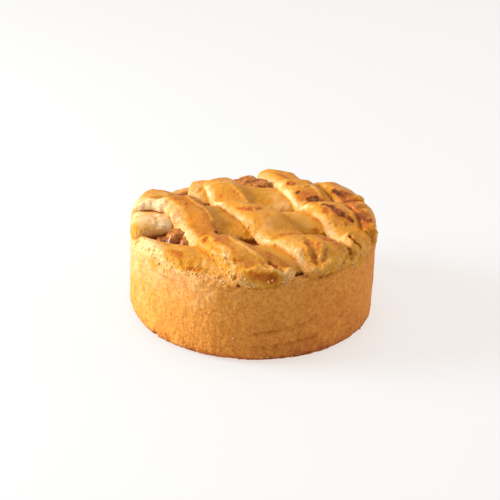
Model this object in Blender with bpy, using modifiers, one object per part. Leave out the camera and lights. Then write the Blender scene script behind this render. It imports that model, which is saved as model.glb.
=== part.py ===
"""Individual deep apple pie with an open lattice lid.

Metres, +Z up. The origin is the middle of the foot that the pie rests on, and the side of
the pie that shows its front faces -Y. The lid is two layers of dough strips: the under strips
lie across the filling from left to right, and the over strips lie slantwise on top of them,
rising over each under strip and sagging between two.
"""
import math

import bmesh
import bpy
from mathutils import Vector, noise

# ---- driving dimensions, in metres ----
PIE_RADIUS = 0.0500        # outside of the crust case
RIM_HEIGHT = 0.0350        # top of the case's rim
WALL = 0.0052              # thickness of the case's wall
BASE = 0.0050              # thickness of the case's floor
FOOT_ROUND = 0.0042        # rounding where the wall turns under
RIM_ROUND = 0.0026         # rounding of the rim's outer edge
INNER_ROUND = 0.0014       # rounding of the rim's inner edge, the floor's edge and the filling
WALL_WOBBLE = 0.0006       # how far the hand-pressed wall strays from a true round
WALL_BUMPS = (60.0, 45.0)  # bumps of the wall per metre, round the case and up it
RIM_WOBBLE = 0.0005        # how far the rim strays from level
RIM_BUMPS = 130.0          # bumps of the rim per metre
TURN_STEPS = 72            # faces round the case
SHARP_ANGLE = 50.0         # an edge sharper than this, in degrees, is shaded as an edge
WELD = 0.00001             # corners nearer to each other than this are one

GAP = 0.0003               # clearance between pieces that touch

FILLING_LEVEL = 0.0343     # top of the filling under the lid
FILLING_DOME = 0.0003      # the filling's middle stands this much higher
FILLING_RINGS = 6          # rings of faces across the filling's top

UNDER_THICK = 0.0044       # thickness of an under strip
OVER_THICK = 0.0046        # thickness of an over strip
SAG_SHARE = 0.10           # height at which an over strip hangs between under strips, as a share
CREST_FLAT = 0.45          # half of a crest's level top, in half widths of the under strip
CREST_FOOT = 1.16          # where a crest has fallen to the sag, in half widths
FINE_STEPS = 24            # points between two knots of a strip's centre line
HEADING_REACH = 6          # points on each side from which a strip's direction is read
BED_STRIDE = 4             # every fourth point of an under strip is enough to find its crest
SECTION_STEP = 0.0036      # length of one facet along a strip
END_STEPS = (0.0, 0.0007, 0.0021, 0.0042)   # stations where a strip's end is rounded off
END_SHARE = 0.35           # height and width of a strip's tip, as a share

UNDER_BED = RIM_HEIGHT + 0.4 * GAP          # level of the under strips, settled into the rim

# Each strip is its centre line, with its width and how far it is puffed up there:
# (x, y, width, puff). The under strips run from left to right, the over strips from the
# back to the front.
UNDER_STRIPS = {
    "strip_under_front": ((-0.0470, -0.0245, 0.0170, 0.0), (-0.0330, -0.0305, 0.0150, 0.0),
                          (-0.0235, -0.0333, 0.0175, 0.0), (-0.0140, -0.0330, 0.0245, 0.0),
                          (-0.0030, -0.0334, 0.0252, 0.0), (0.0090, -0.0325, 0.0240, 0.0),
                          (0.0180, -0.0300, 0.0205, 0.0), (0.0290, -0.0275, 0.0180, 0.0),
                          (0.0420, -0.0215, 0.0130, 0.0)),
    "strip_under_middle": ((-0.0520, -0.0060, 0.0230, 0.0012), (-0.0410, -0.0035, 0.0195, 0.0009),
                           (-0.0330, 0.0010, 0.0160, 0.0), (-0.0220, 0.0025, 0.0245, 0.0),
                           (-0.0110, 0.0010, 0.0270, 0.0), (0.0025, -0.0028, 0.0220, 0.0),
                           (0.0150, 0.0010, 0.0225, 0.0), (0.0280, 0.0030, 0.0205, 0.0),
                           (0.0510, 0.0045, 0.0200, 0.0)),
    "strip_under_back": ((-0.0265, 0.0320, 0.0160, -0.0006), (-0.0195, 0.0312, 0.0210, 0.0),
                         (-0.0080, 0.0283, 0.0222, 0.0), (0.0060, 0.0245, 0.0230, 0.0),
                         (0.0200, 0.0250, 0.0215, 0.0), (0.0450, 0.0250, 0.0200, 0.0)),
}
OVER_STRIPS = {
    "strip_over_left": ((-0.0510, 0.0100, 0.0190, 0.0030), (-0.0390, 0.0108, 0.0176, 0.0028),
                        (-0.0285, 0.0025, 0.0162, 0.0006), (-0.0225, -0.0110, 0.0152, 0.0),
                        (-0.0175, -0.0215, 0.0142, 0.0), (-0.0106, -0.0328, 0.0146, 0.0),
                        (-0.0020, -0.0423, 0.0180, 0.0), (0.0085, -0.0520, 0.0235, 0.0)),
    "strip_over_centre": ((-0.0158, 0.0305, 0.0130, -0.0010), (-0.0132, 0.0245, 0.0142, -0.0006),
                          (-0.0075, 0.0115, 0.0150, -0.0008), (0.0050, -0.0060, 0.0170, 0.0),
                          (0.0185, -0.0240, 0.0185, 0.0), (0.0265, -0.0335, 0.0210, 0.0),
                          (0.0345, -0.0430, 0.0205, 0.0)),
    "strip_over_right": ((0.0080, 0.0500, 0.0170, 0.0012), (0.0132, 0.0395, 0.0135, 0.0010),
                         (0.0180, 0.0278, 0.0152, 0.0), (0.0263, 0.0125, 0.0150, 0.0),
                         (0.0345, -0.0010, 0.0150, 0.0), (0.0395, -0.0140, 0.0150, 0.0),
                         (0.0450, -0.0280, 0.0150, 0.0)),
    "strip_over_edge": ((0.0275, 0.0395, 0.0150, -0.0008), (0.0362, 0.0285, 0.0165, 0.0),
                        (0.0422, 0.0150, 0.0160, 0.0008), (0.0455, 0.0020, 0.0150, 0.0),
                        (0.0470, -0.0075, 0.0110, 0.0)),
}

# Half sections of a strip, from its foot to its middle: (share of half width, share of height).
ROLLED_SIDE = ((0.94, 0.0), (1.0, 0.16), (0.93, 0.45), (0.74, 0.74), (0.44, 0.93))
CUT_SIDE = ((0.92, 0.0), (0.98, 0.30), (0.95, 0.62), (0.78, 0.88), (0.45, 0.98))

# Outline that the lid is pressed to, seen from the side: (radius, height) of its shoulder.
LID_SHOULDER = ((0.0504, 0.0380), (0.0492, 0.0404), (0.0460, 0.0426), (0.0420, 0.0442),
                (0.0350, 0.0454))
LID_TOP = 0.0462            # the pressed outline's middle
LID_FLOOR = 0.0300          # where the pressed outline starts, below the rim

# Apple chunks that stand out of the filling where the lid is open:
# place (x, y), size, turn in degrees, and how far it stands out.
APPLE_CHUNKS = (
    ((-0.0320, -0.0135), 0.0096, 25.0, 0.0036),
    ((-0.0265, -0.0180), 0.0072, 70.0, 0.0028),
    ((-0.0372, -0.0158), 0.0056, 10.0, 0.0022),
    ((-0.0068, 0.0381), 0.0090, 32.0, 0.0052),
    ((0.0014, 0.0392), 0.0080, 12.0, 0.0050),
)
CHUNK_HEIGHT = 0.0095       # height of a chunk, most of it sunk in the filling
CHUNK_DEPTH = 0.78          # a chunk's short side, as a share of its size
CHUNK_SOFTNESS = 0.22       # rounding of a chunk's edges, as a share of its size
CHUNK_TILT = (8.0, -6.0)    # tilt of a chunk about X and Y, in degrees

CRUST = (0.71, 0.42, 0.15)
BAKED_CRUST = (0.66, 0.34, 0.09)
APPLE = (0.22, 0.065, 0.022)


def clear_scene():
    """Remove every object of the scene that is open."""
    for thing in list(bpy.data.objects):
        bpy.data.objects.remove(thing, do_unlink=True)


def make_collection(name):
    """Return a new collection linked to the scene."""
    collection = bpy.data.collections.new(name)
    bpy.context.scene.collection.children.link(collection)
    return collection


def make_material(name, colour, roughness):
    """Return a Principled BSDF material with one colour."""
    material = bpy.data.materials.new(name)
    material.use_nodes = True
    shader = material.node_tree.nodes["Principled BSDF"]
    shader.inputs["Base Color"].default_value = (*colour, 1.0)
    shader.inputs["Roughness"].default_value = roughness
    shader.inputs["Metallic"].default_value = 0.0
    material.diffuse_color = (*colour, 1.0)
    return material


def add_part(name, mesh, material, collection):
    """Put a mesh in a collection as a named part."""
    part = bpy.data.objects.new(name, mesh)
    mesh.name = name
    mesh.materials.clear()
    mesh.materials.append(material)
    mesh.shade_smooth()
    mesh.set_sharp_from_angle(angle=math.radians(SHARP_ANGLE))
    collection.objects.link(part)
    return part


def baked_mesh(thing):
    """Return the evaluated mesh of an object, welded, and remove the object."""
    graph = bpy.context.evaluated_depsgraph_get()
    mesh = bpy.data.meshes.new_from_object(thing.evaluated_get(graph))
    form = bmesh.new()
    form.from_mesh(mesh)
    form.transform(thing.matrix_world)
    bmesh.ops.remove_doubles(form, verts=form.verts, dist=WELD)
    bmesh.ops.recalc_face_normals(form, faces=form.faces)
    form.to_mesh(mesh)
    form.free()
    bpy.data.objects.remove(thing, do_unlink=True)
    return mesh


def turned_mesh(name, profile):
    """Return the solid that a profile of (radius, height) makes, turned about Z."""
    mesh = bpy.data.meshes.new(name)
    corners = [(radius, 0.0, height) for radius, height in profile]
    mesh.from_pydata(corners, [(i, i + 1) for i in range(len(corners) - 1)], [])
    thing = bpy.data.objects.new(name, mesh)
    bpy.context.scene.collection.objects.link(thing)
    screw = thing.modifiers.new("turn", "SCREW")
    screw.steps = TURN_STEPS
    screw.render_steps = TURN_STEPS
    screw.use_merge_vertices = True
    screw.merge_threshold = WELD
    bpy.context.view_layer.update()
    return baked_mesh(thing)


def arc(centre_radius, centre_height, radius, start, end, pieces):
    """Return points of a profile on an arc, its angles in degrees from +X."""
    points = []
    for step in range(pieces + 1):
        angle = math.radians(start + (end - start) * step / pieces)
        points.append((centre_radius + radius * math.cos(angle),
                       centre_height + radius * math.sin(angle)))
    return points


def case_profile():
    """Return the case's half section, from the middle of its floor, over the rim, to its foot."""
    inner = PIE_RADIUS - WALL
    profile = [(0.0, BASE)]
    profile += arc(inner - INNER_ROUND, BASE + INNER_ROUND, INNER_ROUND, -90.0, 0.0, 2)
    profile += arc(inner + INNER_ROUND, RIM_HEIGHT - INNER_ROUND, INNER_ROUND, 180.0, 90.0, 2)
    profile += arc(PIE_RADIUS - RIM_ROUND, RIM_HEIGHT - RIM_ROUND, RIM_ROUND, 90.0, 0.0, 3)
    for share in (0.75, 0.5, 0.25):
        profile.append((PIE_RADIUS, FOOT_ROUND + share * (RIM_HEIGHT - RIM_ROUND - FOOT_ROUND)))
    profile += arc(PIE_RADIUS - FOOT_ROUND, FOOT_ROUND, FOOT_ROUND, 0.0, -90.0, 4)
    profile.append((0.0, 0.0))
    return profile


def press_by_hand(mesh):
    """Make the turned case's outside and rim as uneven as pressed dough."""
    for corner in mesh.vertices:
        x, y, z = corner.co
        radius = math.hypot(x, y)
        if radius < PIE_RADIUS - WALL + 0.5 * INNER_ROUND:
            continue
        if z > FOOT_ROUND * 0.5:
            round_it, up_it = WALL_BUMPS
            stray = noise.noise(Vector((x * round_it, y * round_it, z * up_it)))
            stretch = 1.0 + WALL_WOBBLE * stray / radius
            corner.co.x *= stretch
            corner.co.y *= stretch
        if z > RIM_HEIGHT - 0.5 * RIM_ROUND:
            corner.co.z += RIM_WOBBLE * noise.noise(Vector((x * RIM_BUMPS, y * RIM_BUMPS, 4.0)))


def smooth_line(knots):
    """Return close points (x, y, width, puff) on a smooth curve through some knots."""
    points = [Vector(knot) for knot in knots]
    points = [2.0 * points[0] - points[1]] + points + [2.0 * points[-1] - points[-2]]
    line = []
    for a, b, c, d in zip(points, points[1:], points[2:], points[3:]):
        for part in range(FINE_STEPS):
            t = part / FINE_STEPS
            line.append(0.5 * (2.0 * b + (c - a) * t + (2.0 * a - 5.0 * b + 4.0 * c - d) * t * t
                               + (3.0 * b - a - 3.0 * c + d) * t * t * t))
    line.append(points[-2])
    return line


def stations_along(line):
    """Return a strip's stations: place, direction, width, puff and how full its section is."""
    travelled = [0.0]
    for here, there in zip(line, line[1:]):
        travelled.append(travelled[-1] + math.hypot(there.x - here.x, there.y - here.y))
    length = travelled[-1]
    middle = length - 2.0 * END_STEPS[-1]
    count = max(2, round(middle / SECTION_STEP))
    stops = list(END_STEPS)
    stops += [END_STEPS[-1] + middle * step / count for step in range(1, count)]
    stops += [length - step for step in reversed(END_STEPS)]
    stations = []
    index = 0
    for stop in stops:
        while index < len(line) - 2 and travelled[index + 1] < stop:
            index += 1
        span = travelled[index + 1] - travelled[index]
        point = line[index].lerp(line[index + 1], (stop - travelled[index]) / span)
        before = line[max(0, index - HEADING_REACH)]
        after = line[min(len(line) - 1, index + 1 + HEADING_REACH)]
        heading = Vector((after - before)[:2]).normalized()
        to_end = min(1.0, min(stop, length - stop) / END_STEPS[-1])
        fullness = END_SHARE + (1.0 - END_SHARE) * math.sqrt(to_end * (2.0 - to_end))
        stations.append((Vector(point[:2]), heading, point.z, point.w, fullness))
    return stations


def dough_section(near_side, far_side):
    """Return a strip's whole section as (across, up) shares, from the near foot to the far one."""
    section = [(-across, up) for across, up in near_side]
    section.append((0.0, 1.0))
    section += [(across, up) for across, up in reversed(far_side)]
    return section


def strip_mesh(name, knots, thickness, section, bed):
    """Return the loft of a dough strip, whose section narrows, widens and is rounded off.

    The bed is a function of (x, y) that gives the height on which the strip's underside lies.
    """
    form = bmesh.new()
    rings = []
    for place, heading, width, puff, fullness in stations_along(smooth_line(knots)):
        across_way = Vector((-heading.y, heading.x))
        ring = []
        for across, up in section:
            spot = place + across_way * (across * 0.5 * width * fullness)
            height = bed(spot.x, spot.y) + up * (thickness + puff) * fullness
            ring.append(form.verts.new((spot.x, spot.y, height)))
        rings.append(ring)
    count = len(section)
    for here, there in zip(rings, rings[1:]):
        for i in range(count):
            j = (i + 1) % count
            form.faces.new((here[i], here[j], there[j], there[i]))
    form.faces.new(rings[0])
    form.faces.new(rings[-1])
    bmesh.ops.recalc_face_normals(form, faces=form.faces)
    bmesh.ops.triangulate(form, faces=form.faces)
    mesh = bpy.data.meshes.new(name)
    form.to_mesh(mesh)
    form.free()
    return mesh


def lying_bed(x, y):
    """Return the height on which an under strip lies: level, and following the rim's edge."""
    beyond = math.hypot(x, y) - (PIE_RADIUS - RIM_ROUND)
    if beyond <= 0.0:
        return UNDER_BED
    beyond = min(beyond, 0.99 * RIM_ROUND)
    return UNDER_BED - RIM_ROUND + math.sqrt(RIM_ROUND * RIM_ROUND - beyond * beyond)


def crossing_bed(under_lines):
    """Return the bed of an over strip: high on each under strip, sagging between two."""
    def bed(x, y):
        lift = 0.0
        for line in under_lines:
            distance, width = min((math.hypot(x - point.x, y - point.y), point.z)
                                  for point in line[::BED_STRIDE])
            share = (2.0 * distance / width - CREST_FLAT) / (CREST_FOOT - CREST_FLAT)
            share = min(1.0, max(0.0, share))
            lift = max(lift, 1.0 - share * share * (3.0 - 2.0 * share))
        return lying_bed(x, y) + UNDER_THICK * (SAG_SHARE + (1.0 - SAG_SHARE) * lift)
    return bed


def grown_cutter(part, cutters):
    """Return a copy of a part that is larger by the clearance, as a cutter."""
    cutter = bpy.data.objects.new(part.name + "_room", part.data.copy())
    grow = cutter.modifiers.new("clearance", "DISPLACE")
    grow.direction = "NORMAL"
    grow.strength = GAP
    grow.mid_level = 0.0
    cutter.hide_render = True
    cutter.display_type = "WIRE"
    cutters.objects.link(cutter)
    return cutter


def keep_inside(part, cutter):
    """Keep only the part of a piece that is inside a cutter."""
    trim = part.modifiers.new("press", "BOOLEAN")
    trim.operation = "INTERSECT"
    trim.solver = "EXACT"
    trim.object = cutter


def cut_by(part, cutter):
    """Take a cutter's form out of a part."""
    cut = part.modifiers.new("room_for_" + cutter.name, "BOOLEAN")
    cut.operation = "DIFFERENCE"
    cut.solver = "EXACT"
    cut.object = cutter


def filling_profile():
    """Return the filling's half section, from the middle of its top to that of its floor."""
    radius = PIE_RADIUS - WALL - GAP
    floor = BASE + GAP
    profile = []
    for ring in range(FILLING_RINGS):
        share = ring / FILLING_RINGS
        profile.append((radius * share, FILLING_LEVEL + FILLING_DOME * (1.0 - share * share)))
    profile += arc(radius - INNER_ROUND, FILLING_LEVEL - INNER_ROUND, INNER_ROUND, 90.0, 0.0, 2)
    profile += arc(radius - INNER_ROUND, floor + INNER_ROUND, INNER_ROUND, 0.0, -90.0, 2)
    profile.append((0.0, floor))
    return profile


def apple_chunk(name, place, size, turn, show):
    """Return a soft-edged cube of apple sunk in the filling."""
    bpy.ops.mesh.primitive_cube_add(size=1.0)
    chunk = bpy.context.active_object
    chunk.name = name
    form = bmesh.new()
    form.from_mesh(chunk.data)
    bmesh.ops.scale(form, vec=Vector((size, size * CHUNK_DEPTH, CHUNK_HEIGHT)), verts=form.verts)
    form.to_mesh(chunk.data)
    form.free()
    soften = chunk.modifiers.new("soften", "BEVEL")
    soften.width = CHUNK_SOFTNESS * size
    soften.segments = 2
    chunk.rotation_euler = [math.radians(angle) for angle in (*CHUNK_TILT, turn)]
    chunk.location = (*place, FILLING_LEVEL + show - 0.5 * CHUNK_HEIGHT)
    return chunk


def build_filling(material, collection, cutters):
    """Return the filling: a plug that fills the case, with chunks of apple in its top."""
    filling = add_part("filling", turned_mesh("filling", filling_profile()), material, collection)
    for index, (place, size, turn, show) in enumerate(APPLE_CHUNKS):
        chunk = apple_chunk("chunk_%d" % (index + 1), place, size, turn, show)
        chunk.hide_render = True
        chunk.display_type = "WIRE"
        for home in list(chunk.users_collection):
            home.objects.unlink(chunk)
        cutters.objects.link(chunk)
        join = filling.modifiers.new("chunk", "BOOLEAN")
        join.operation = "UNION"
        join.solver = "EXACT"
        join.object = chunk
    return filling


def build_press(cutters):
    """Return the outline that the lid is pressed to, as a cutter."""
    profile = [(0.0, LID_TOP)] + list(reversed(LID_SHOULDER))
    profile += [(LID_SHOULDER[0][0], LID_FLOOR), (0.0, LID_FLOOR)]
    press = bpy.data.objects.new("lid_press", turned_mesh("lid_press", profile))
    press.hide_render = True
    press.display_type = "WIRE"
    cutters.objects.link(press)
    return press


def lay_strip(name, mesh, material, collection, cutters, press, rooms, filling):
    """Add a strip, trim it at the rim, and give every piece that it touches its room."""
    strip = add_part(name, mesh, material, collection)
    room = grown_cutter(strip, cutters)   # copied before the strip is trimmed
    keep_inside(strip, press)
    for other in rooms:
        cut_by(strip, other)
    cut_by(filling, room)
    rooms.append(room)


def build():
    """Build the pie: case, filling and the two layers of the lid."""
    clear_scene()
    pie = make_collection("apple_pie")
    cutters = make_collection("cutters")
    crust = make_material("crust", CRUST, 0.78)
    baked = make_material("baked_crust", BAKED_CRUST, 0.50)
    apple = make_material("apple_filling", APPLE, 0.30)

    case_mesh = turned_mesh("crust_case", case_profile())
    press_by_hand(case_mesh)
    case = add_part("crust_case", case_mesh, crust, pie)
    case_room = grown_cutter(case, cutters)

    filling = build_filling(apple, pie, cutters)

    press = build_press(cutters)

    rooms = [case_room]
    rolled = dough_section(ROLLED_SIDE, ROLLED_SIDE)
    for name, knots in UNDER_STRIPS.items():
        mesh = strip_mesh(name, knots, UNDER_THICK, rolled, lying_bed)
        lay_strip(name, mesh, baked, pie, cutters, press, rooms, filling)

    bed = crossing_bed([smooth_line(knots) for knots in UNDER_STRIPS.values()])
    half_cut = dough_section(ROLLED_SIDE, CUT_SIDE)
    for name, knots in OVER_STRIPS.items():
        mesh = strip_mesh(name, knots, OVER_THICK, half_cut, bed)
        lay_strip(name, mesh, baked, pie, cutters, press, rooms, filling)


build()
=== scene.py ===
"""Looks of an individual deep apple pie with a lattice lid.

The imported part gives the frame. Each of its nodes is replaced by a finer piece in the same
place: the shortcrust case, the apple filling and the seven dough strips of the lid. Crumbs
come on top of them. Lengths are in metres, +Z is up, and the side of the pie that the
photograph shows faces -Y.
"""

import logging
import math
from collections.abc import Sequence
from dataclasses import dataclass, field
from enum import Enum
from functools import partial

import bpy
import numpy as np
from mathutils import Matrix, Vector
from mathutils.bvhtree import BVHTree

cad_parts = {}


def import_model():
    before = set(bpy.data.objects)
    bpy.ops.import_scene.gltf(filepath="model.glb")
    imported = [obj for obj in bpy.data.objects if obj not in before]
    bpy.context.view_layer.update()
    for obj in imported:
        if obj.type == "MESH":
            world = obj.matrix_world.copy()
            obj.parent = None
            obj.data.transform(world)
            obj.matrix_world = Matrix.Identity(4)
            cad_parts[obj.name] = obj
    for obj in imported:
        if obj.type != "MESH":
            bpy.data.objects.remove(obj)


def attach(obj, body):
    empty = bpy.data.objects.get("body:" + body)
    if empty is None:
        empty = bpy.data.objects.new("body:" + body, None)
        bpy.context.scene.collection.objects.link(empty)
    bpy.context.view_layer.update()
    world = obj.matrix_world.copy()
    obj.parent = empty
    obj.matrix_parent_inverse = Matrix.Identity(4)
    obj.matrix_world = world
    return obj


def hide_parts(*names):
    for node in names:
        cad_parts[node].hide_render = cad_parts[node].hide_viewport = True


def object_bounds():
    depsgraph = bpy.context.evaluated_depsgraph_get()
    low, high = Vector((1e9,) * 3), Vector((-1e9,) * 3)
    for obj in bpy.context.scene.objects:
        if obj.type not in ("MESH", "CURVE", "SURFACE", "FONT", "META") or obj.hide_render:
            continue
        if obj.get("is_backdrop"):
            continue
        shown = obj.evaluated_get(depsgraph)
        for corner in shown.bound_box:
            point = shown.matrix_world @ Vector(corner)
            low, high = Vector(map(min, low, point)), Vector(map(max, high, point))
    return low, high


log = logging.getLogger("apple_pie")

# Pixels of the photograph, counted right and down from its top left corner.
PhotoPath = tuple[tuple[float, float], ...]
# A colour ramp's stops: each a place from 0 to 1, and a colour.
Stops = tuple[tuple[float, tuple[float, float, float]], ...]

MM = 0.001
PIE_RADIUS = 50.0 * MM
RIM_HEIGHT = 35.0 * MM
WALL = 5.2 * MM
BASE = 5.0 * MM
RIM_ROUND = 2.6 * MM
RIM_DEPTH = 4.0 * MM
BED_LEVEL = RIM_HEIGHT + 0.12 * MM
UNDER_THICK = 4.4 * MM
OVER_THICK = 4.6 * MM
FILLING_LEVEL = 34.3 * MM
EDGE_LEVEL = 37.0 * MM

# The outline that the lid is pressed to: radius and height of its shoulder.
PRESS_RADII = (0.0, 35.0 * MM, 42.0 * MM, 46.0 * MM, 49.2 * MM, 50.4 * MM)
PRESS_HEIGHTS = (46.2 * MM, 45.4 * MM, 44.2 * MM, 43.2 * MM, 41.6 * MM, 39.6 * MM)


class Layer(Enum):
    """Where in the lid a dough strip lies."""

    UNDER = "under"
    OVER = "over"


class MarkKind(Enum):
    """What a mark on the dough changes."""

    # How brown the dough is; at some marks this is painted shade or painted light instead.
    BROWN = "brown"
    RIDGE = "ridge"
    SHEEN = "sheen"
    CRUMB = "crumb"


# ---------------------------------------------------------------- noise

# Factors and shifts that stir a cell's coordinates into a number, and the bits that it keeps.
CELL_FACTORS = np.array((73856093, 19349663, 83492791), np.int64)
SEED_FACTOR = 668265263
STIRS = ((15, 739982445), (12, 695872825))
STIRRED_BITS = 0x7FFFFFFF
VALUE_BITS = 0xFFFFF

# How much finer and weaker each layer of noise is than the last, and the sum's span.
FINER = 2.03
WEAKER = 0.55
SPAN = 1.5


def cell_values(cells: np.ndarray, seed: int) -> np.ndarray:
    """Return a repeatable number from 0 to 1 for each whole-numbered cell.

    Args:
        cells: whole numbers, the last axis holding the three coordinates.
        seed: chooses another set of values.

    Returns:
        One value for each cell.
    """
    mixed = (cells.astype(np.int64) @ CELL_FACTORS + seed * SEED_FACTOR) & STIRRED_BITS
    for shift, factor in STIRS:
        mixed = ((mixed ^ (mixed >> shift)) * factor) & STIRRED_BITS
    return ((mixed ^ (mixed >> 15)) & VALUE_BITS) / float(VALUE_BITS)


def swell(points: np.ndarray, pitch: float, seed: int = 0) -> np.ndarray:
    """Return smooth noise from -1 to 1.

    Args:
        points: places, an array of shape (..., 3) in metres.
        pitch: distance between two swells, in metres.
        seed: chooses another pattern.

    Returns:
        One value for each place.
    """
    spots = points / pitch
    corner = np.floor(spots)
    part = spots - corner
    ease = part * part * part * (part * (part * 6.0 - 15.0) + 10.0)
    total = np.zeros(points.shape[:-1])
    for index in range(8):
        step = np.array((index & 1, (index >> 1) & 1, (index >> 2) & 1))
        weight = np.prod(np.where(step == 1, ease, 1.0 - ease), axis=-1)
        total += weight * cell_values(corner + step, seed)
    return total * 2.0 - 1.0


def layered(points: np.ndarray, pitch: float, layers: int = 4, seed: int = 0) -> np.ndarray:
    """Return noise of several sizes, each about half as large as the last.

    Args:
        points: places, an array of shape (..., 3) in metres.
        pitch: distance between the largest swells, in metres.
        layers: how many sizes are added.
        seed: chooses another pattern.

    Returns:
        One value from about -1 to 1 for each place.
    """
    total = np.zeros(points.shape[:-1])
    weight, share = 1.0, 0.0
    for layer in range(layers):
        total += weight * swell(points, pitch / FINER ** layer, seed + 17 * layer)
        share += weight
        weight *= WEAKER
    return total / share * SPAN


def grains(points: np.ndarray, pitch: float, seed: int = 0) -> tuple[np.ndarray, np.ndarray]:
    """Return how far each place is from the nearest scattered grain.

    Args:
        points: places, an array of shape (..., 3) in metres.
        pitch: usual distance between two grains, in metres.
        seed: chooses another scatter.

    Returns:
        The distance in pitches, and a value from 0 to 1 that is that grain's own.
    """
    spots = points / pitch
    corner = np.floor(spots)
    nearest = np.full(points.shape[:-1], 9.0)
    own = np.zeros(points.shape[:-1])
    for index in range(27):
        step = np.array((index % 3, index // 3 % 3, index // 9)) - 1.0
        cell = corner + step
        place = np.stack([cell_values(cell, seed + k) for k in (1, 2, 3)], axis=-1)
        distance = np.linalg.norm(cell + place - spots, axis=-1)
        closer = distance < nearest
        nearest = np.where(closer, distance, nearest)
        own = np.where(closer, cell_values(cell, seed + 4), own)
    return nearest, own


def smooth_step(low: float, high: float, value: np.ndarray) -> np.ndarray:
    """Return 0 below low, 1 above high, and a smooth rise between them."""
    share = np.clip((value - low) / (high - low), 0.0, 1.0)
    return share * share * (3.0 - 2.0 * share)


def distance_to_path(places: np.ndarray, path: np.ndarray) -> np.ndarray:
    """Return how far places are from a path.

    Args:
        places: an array of shape (..., 3).
        path: the path's corners, in rows; one corner makes a spot.

    Returns:
        One distance for each place.
    """
    if len(path) == 1:
        return np.linalg.norm(places - path[0], axis=-1)
    nearest = np.full(places.shape[:-1], 1.0e9)
    for start, end in zip(path, path[1:]):
        way = end - start
        share = np.clip(((places - start) @ way) / max(way @ way, 1.0e-12), 0.0, 1.0)
        nearest = np.minimum(nearest, np.linalg.norm(places - start - share[..., None] * way,
                                                     axis=-1))
    return nearest


# ---------------------------------------------------------------- meshes


def blended_union(first: np.ndarray, second: np.ndarray, blend: np.ndarray | float) -> np.ndarray:
    """Return the distance to two bodies that melt into each other over a blend length."""
    share = np.maximum(blend - np.abs(first - second), 0.0) / blend
    return np.minimum(first, second) - 0.25 * blend * share * share


def blended_cut(first: np.ndarray, second: np.ndarray, blend: np.ndarray | float) -> np.ndarray:
    """Return the distance to what two bodies share, its edge rounded over a blend length."""
    return -blended_union(-first, -second, blend)


CELL_CORNERS = np.array([(i & 1, (i >> 1) & 1, (i >> 2) & 1) for i in range(8)])
CELL_EDGES = [(a, b) for a in CELL_CORNERS for b in CELL_CORNERS
              if (b - a).sum() == 1 and (b - a).min() == 0]


def skin(values: np.ndarray, low: np.ndarray, step: float) -> tuple[np.ndarray, np.ndarray]:
    """Return the surface on which a field of signed distances is zero.

    Args:
        values: distances on a grid of nodes, below zero inside the body.
        low: place of the first node.
        step: distance between nodes.

    Returns:
        The surface's points (n, 3) and its four-cornered faces (m, 4).
    """
    inside = values < 0.0
    size = np.array(values.shape)
    count = np.zeros(size - 1, np.int8)
    for a, b, c in CELL_CORNERS:
        count += inside[a:size[0] - 1 + a, b:size[1] - 1 + b, c:size[2] - 1 + c]
    active = (count > 0) & (count < 8)
    cells = np.argwhere(active)
    number = np.full(active.shape, -1, np.int32)
    number[active] = np.arange(len(cells))
    total, hits = np.zeros((len(cells), 3)), np.zeros(len(cells))
    for first, second in CELL_EDGES:
        near = values[tuple((cells + first).T)].astype(float)
        far = values[tuple((cells + second).T)].astype(float)
        crossed = (near < 0.0) != (far < 0.0)
        share = np.where(crossed, near / np.where(crossed, near - far, 1.0), 0.0)
        total += crossed[:, None] * (first + share[:, None] * (second - first))
        hits += crossed
    points = low + step * (cells + total / hits[:, None])
    faces = []
    for axis in range(3):
        one, two = (axis + 1) % 3, (axis + 2) % 3
        lower = inside.take(np.arange(size[axis] - 1), axis)
        upper = inside.take(np.arange(1, size[axis]), axis)
        spots = np.argwhere(lower != upper)
        back_one, back_two = np.eye(3, dtype=int)[one], np.eye(3, dtype=int)[two]
        ring = [number[tuple((spots - a - b).T)] for a, b in
                ((0, 0), (back_one, 0), (back_one, back_two), (0, back_two))]
        quads = np.stack(ring, axis=1)
        quads[~lower[tuple(spots.T)]] = quads[~lower[tuple(spots.T)]][:, ::-1]
        faces.append(quads)
    return points, np.vstack(faces)


def corner_sums(faces: np.ndarray, values: np.ndarray, count: int) -> np.ndarray:
    """Return, for each of count points, the sum of values (faces, 3) over the faces round it."""
    corners = faces.ravel()
    spread = np.repeat(values, faces.shape[1], axis=0)
    return np.stack([np.bincount(corners, spread[:, k], count) for k in range(3)], axis=1)


def point_normals(points: np.ndarray, faces: np.ndarray) -> np.ndarray:
    """Return the unit normals of a surface at its points."""
    a, b, c, d = (points[faces[:, k]] for k in range(4))
    normals = corner_sums(faces, np.cross(c - a, d - b), len(points))
    return normals / np.maximum(np.linalg.norm(normals, axis=1, keepdims=True), 1.0e-12)


def relaxed(points: np.ndarray, faces: np.ndarray, rounds: int, share: float) -> np.ndarray:
    """Return a surface's points, each moved a share of the way to the middle of its faces."""
    touching = np.bincount(faces.ravel(), minlength=len(points))[:, None]
    for _ in range(rounds):
        middles = points[faces].mean(axis=1)
        points = points + share * (corner_sums(faces, middles, len(points)) / touching - points)
    return points


def ring_faces(rings: int, columns: int) -> np.ndarray:
    """Return the faces between rings of points that face out, each ring inside the next."""
    ring, column = np.meshgrid(np.arange(rings - 1), np.arange(columns), indexing="ij")
    after = (column + 1) % columns
    corners = (ring * columns + column, (ring + 1) * columns + column,
               (ring + 1) * columns + after, ring * columns + after)
    return np.stack(corners, axis=-1).reshape(-1, 4)


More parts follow.
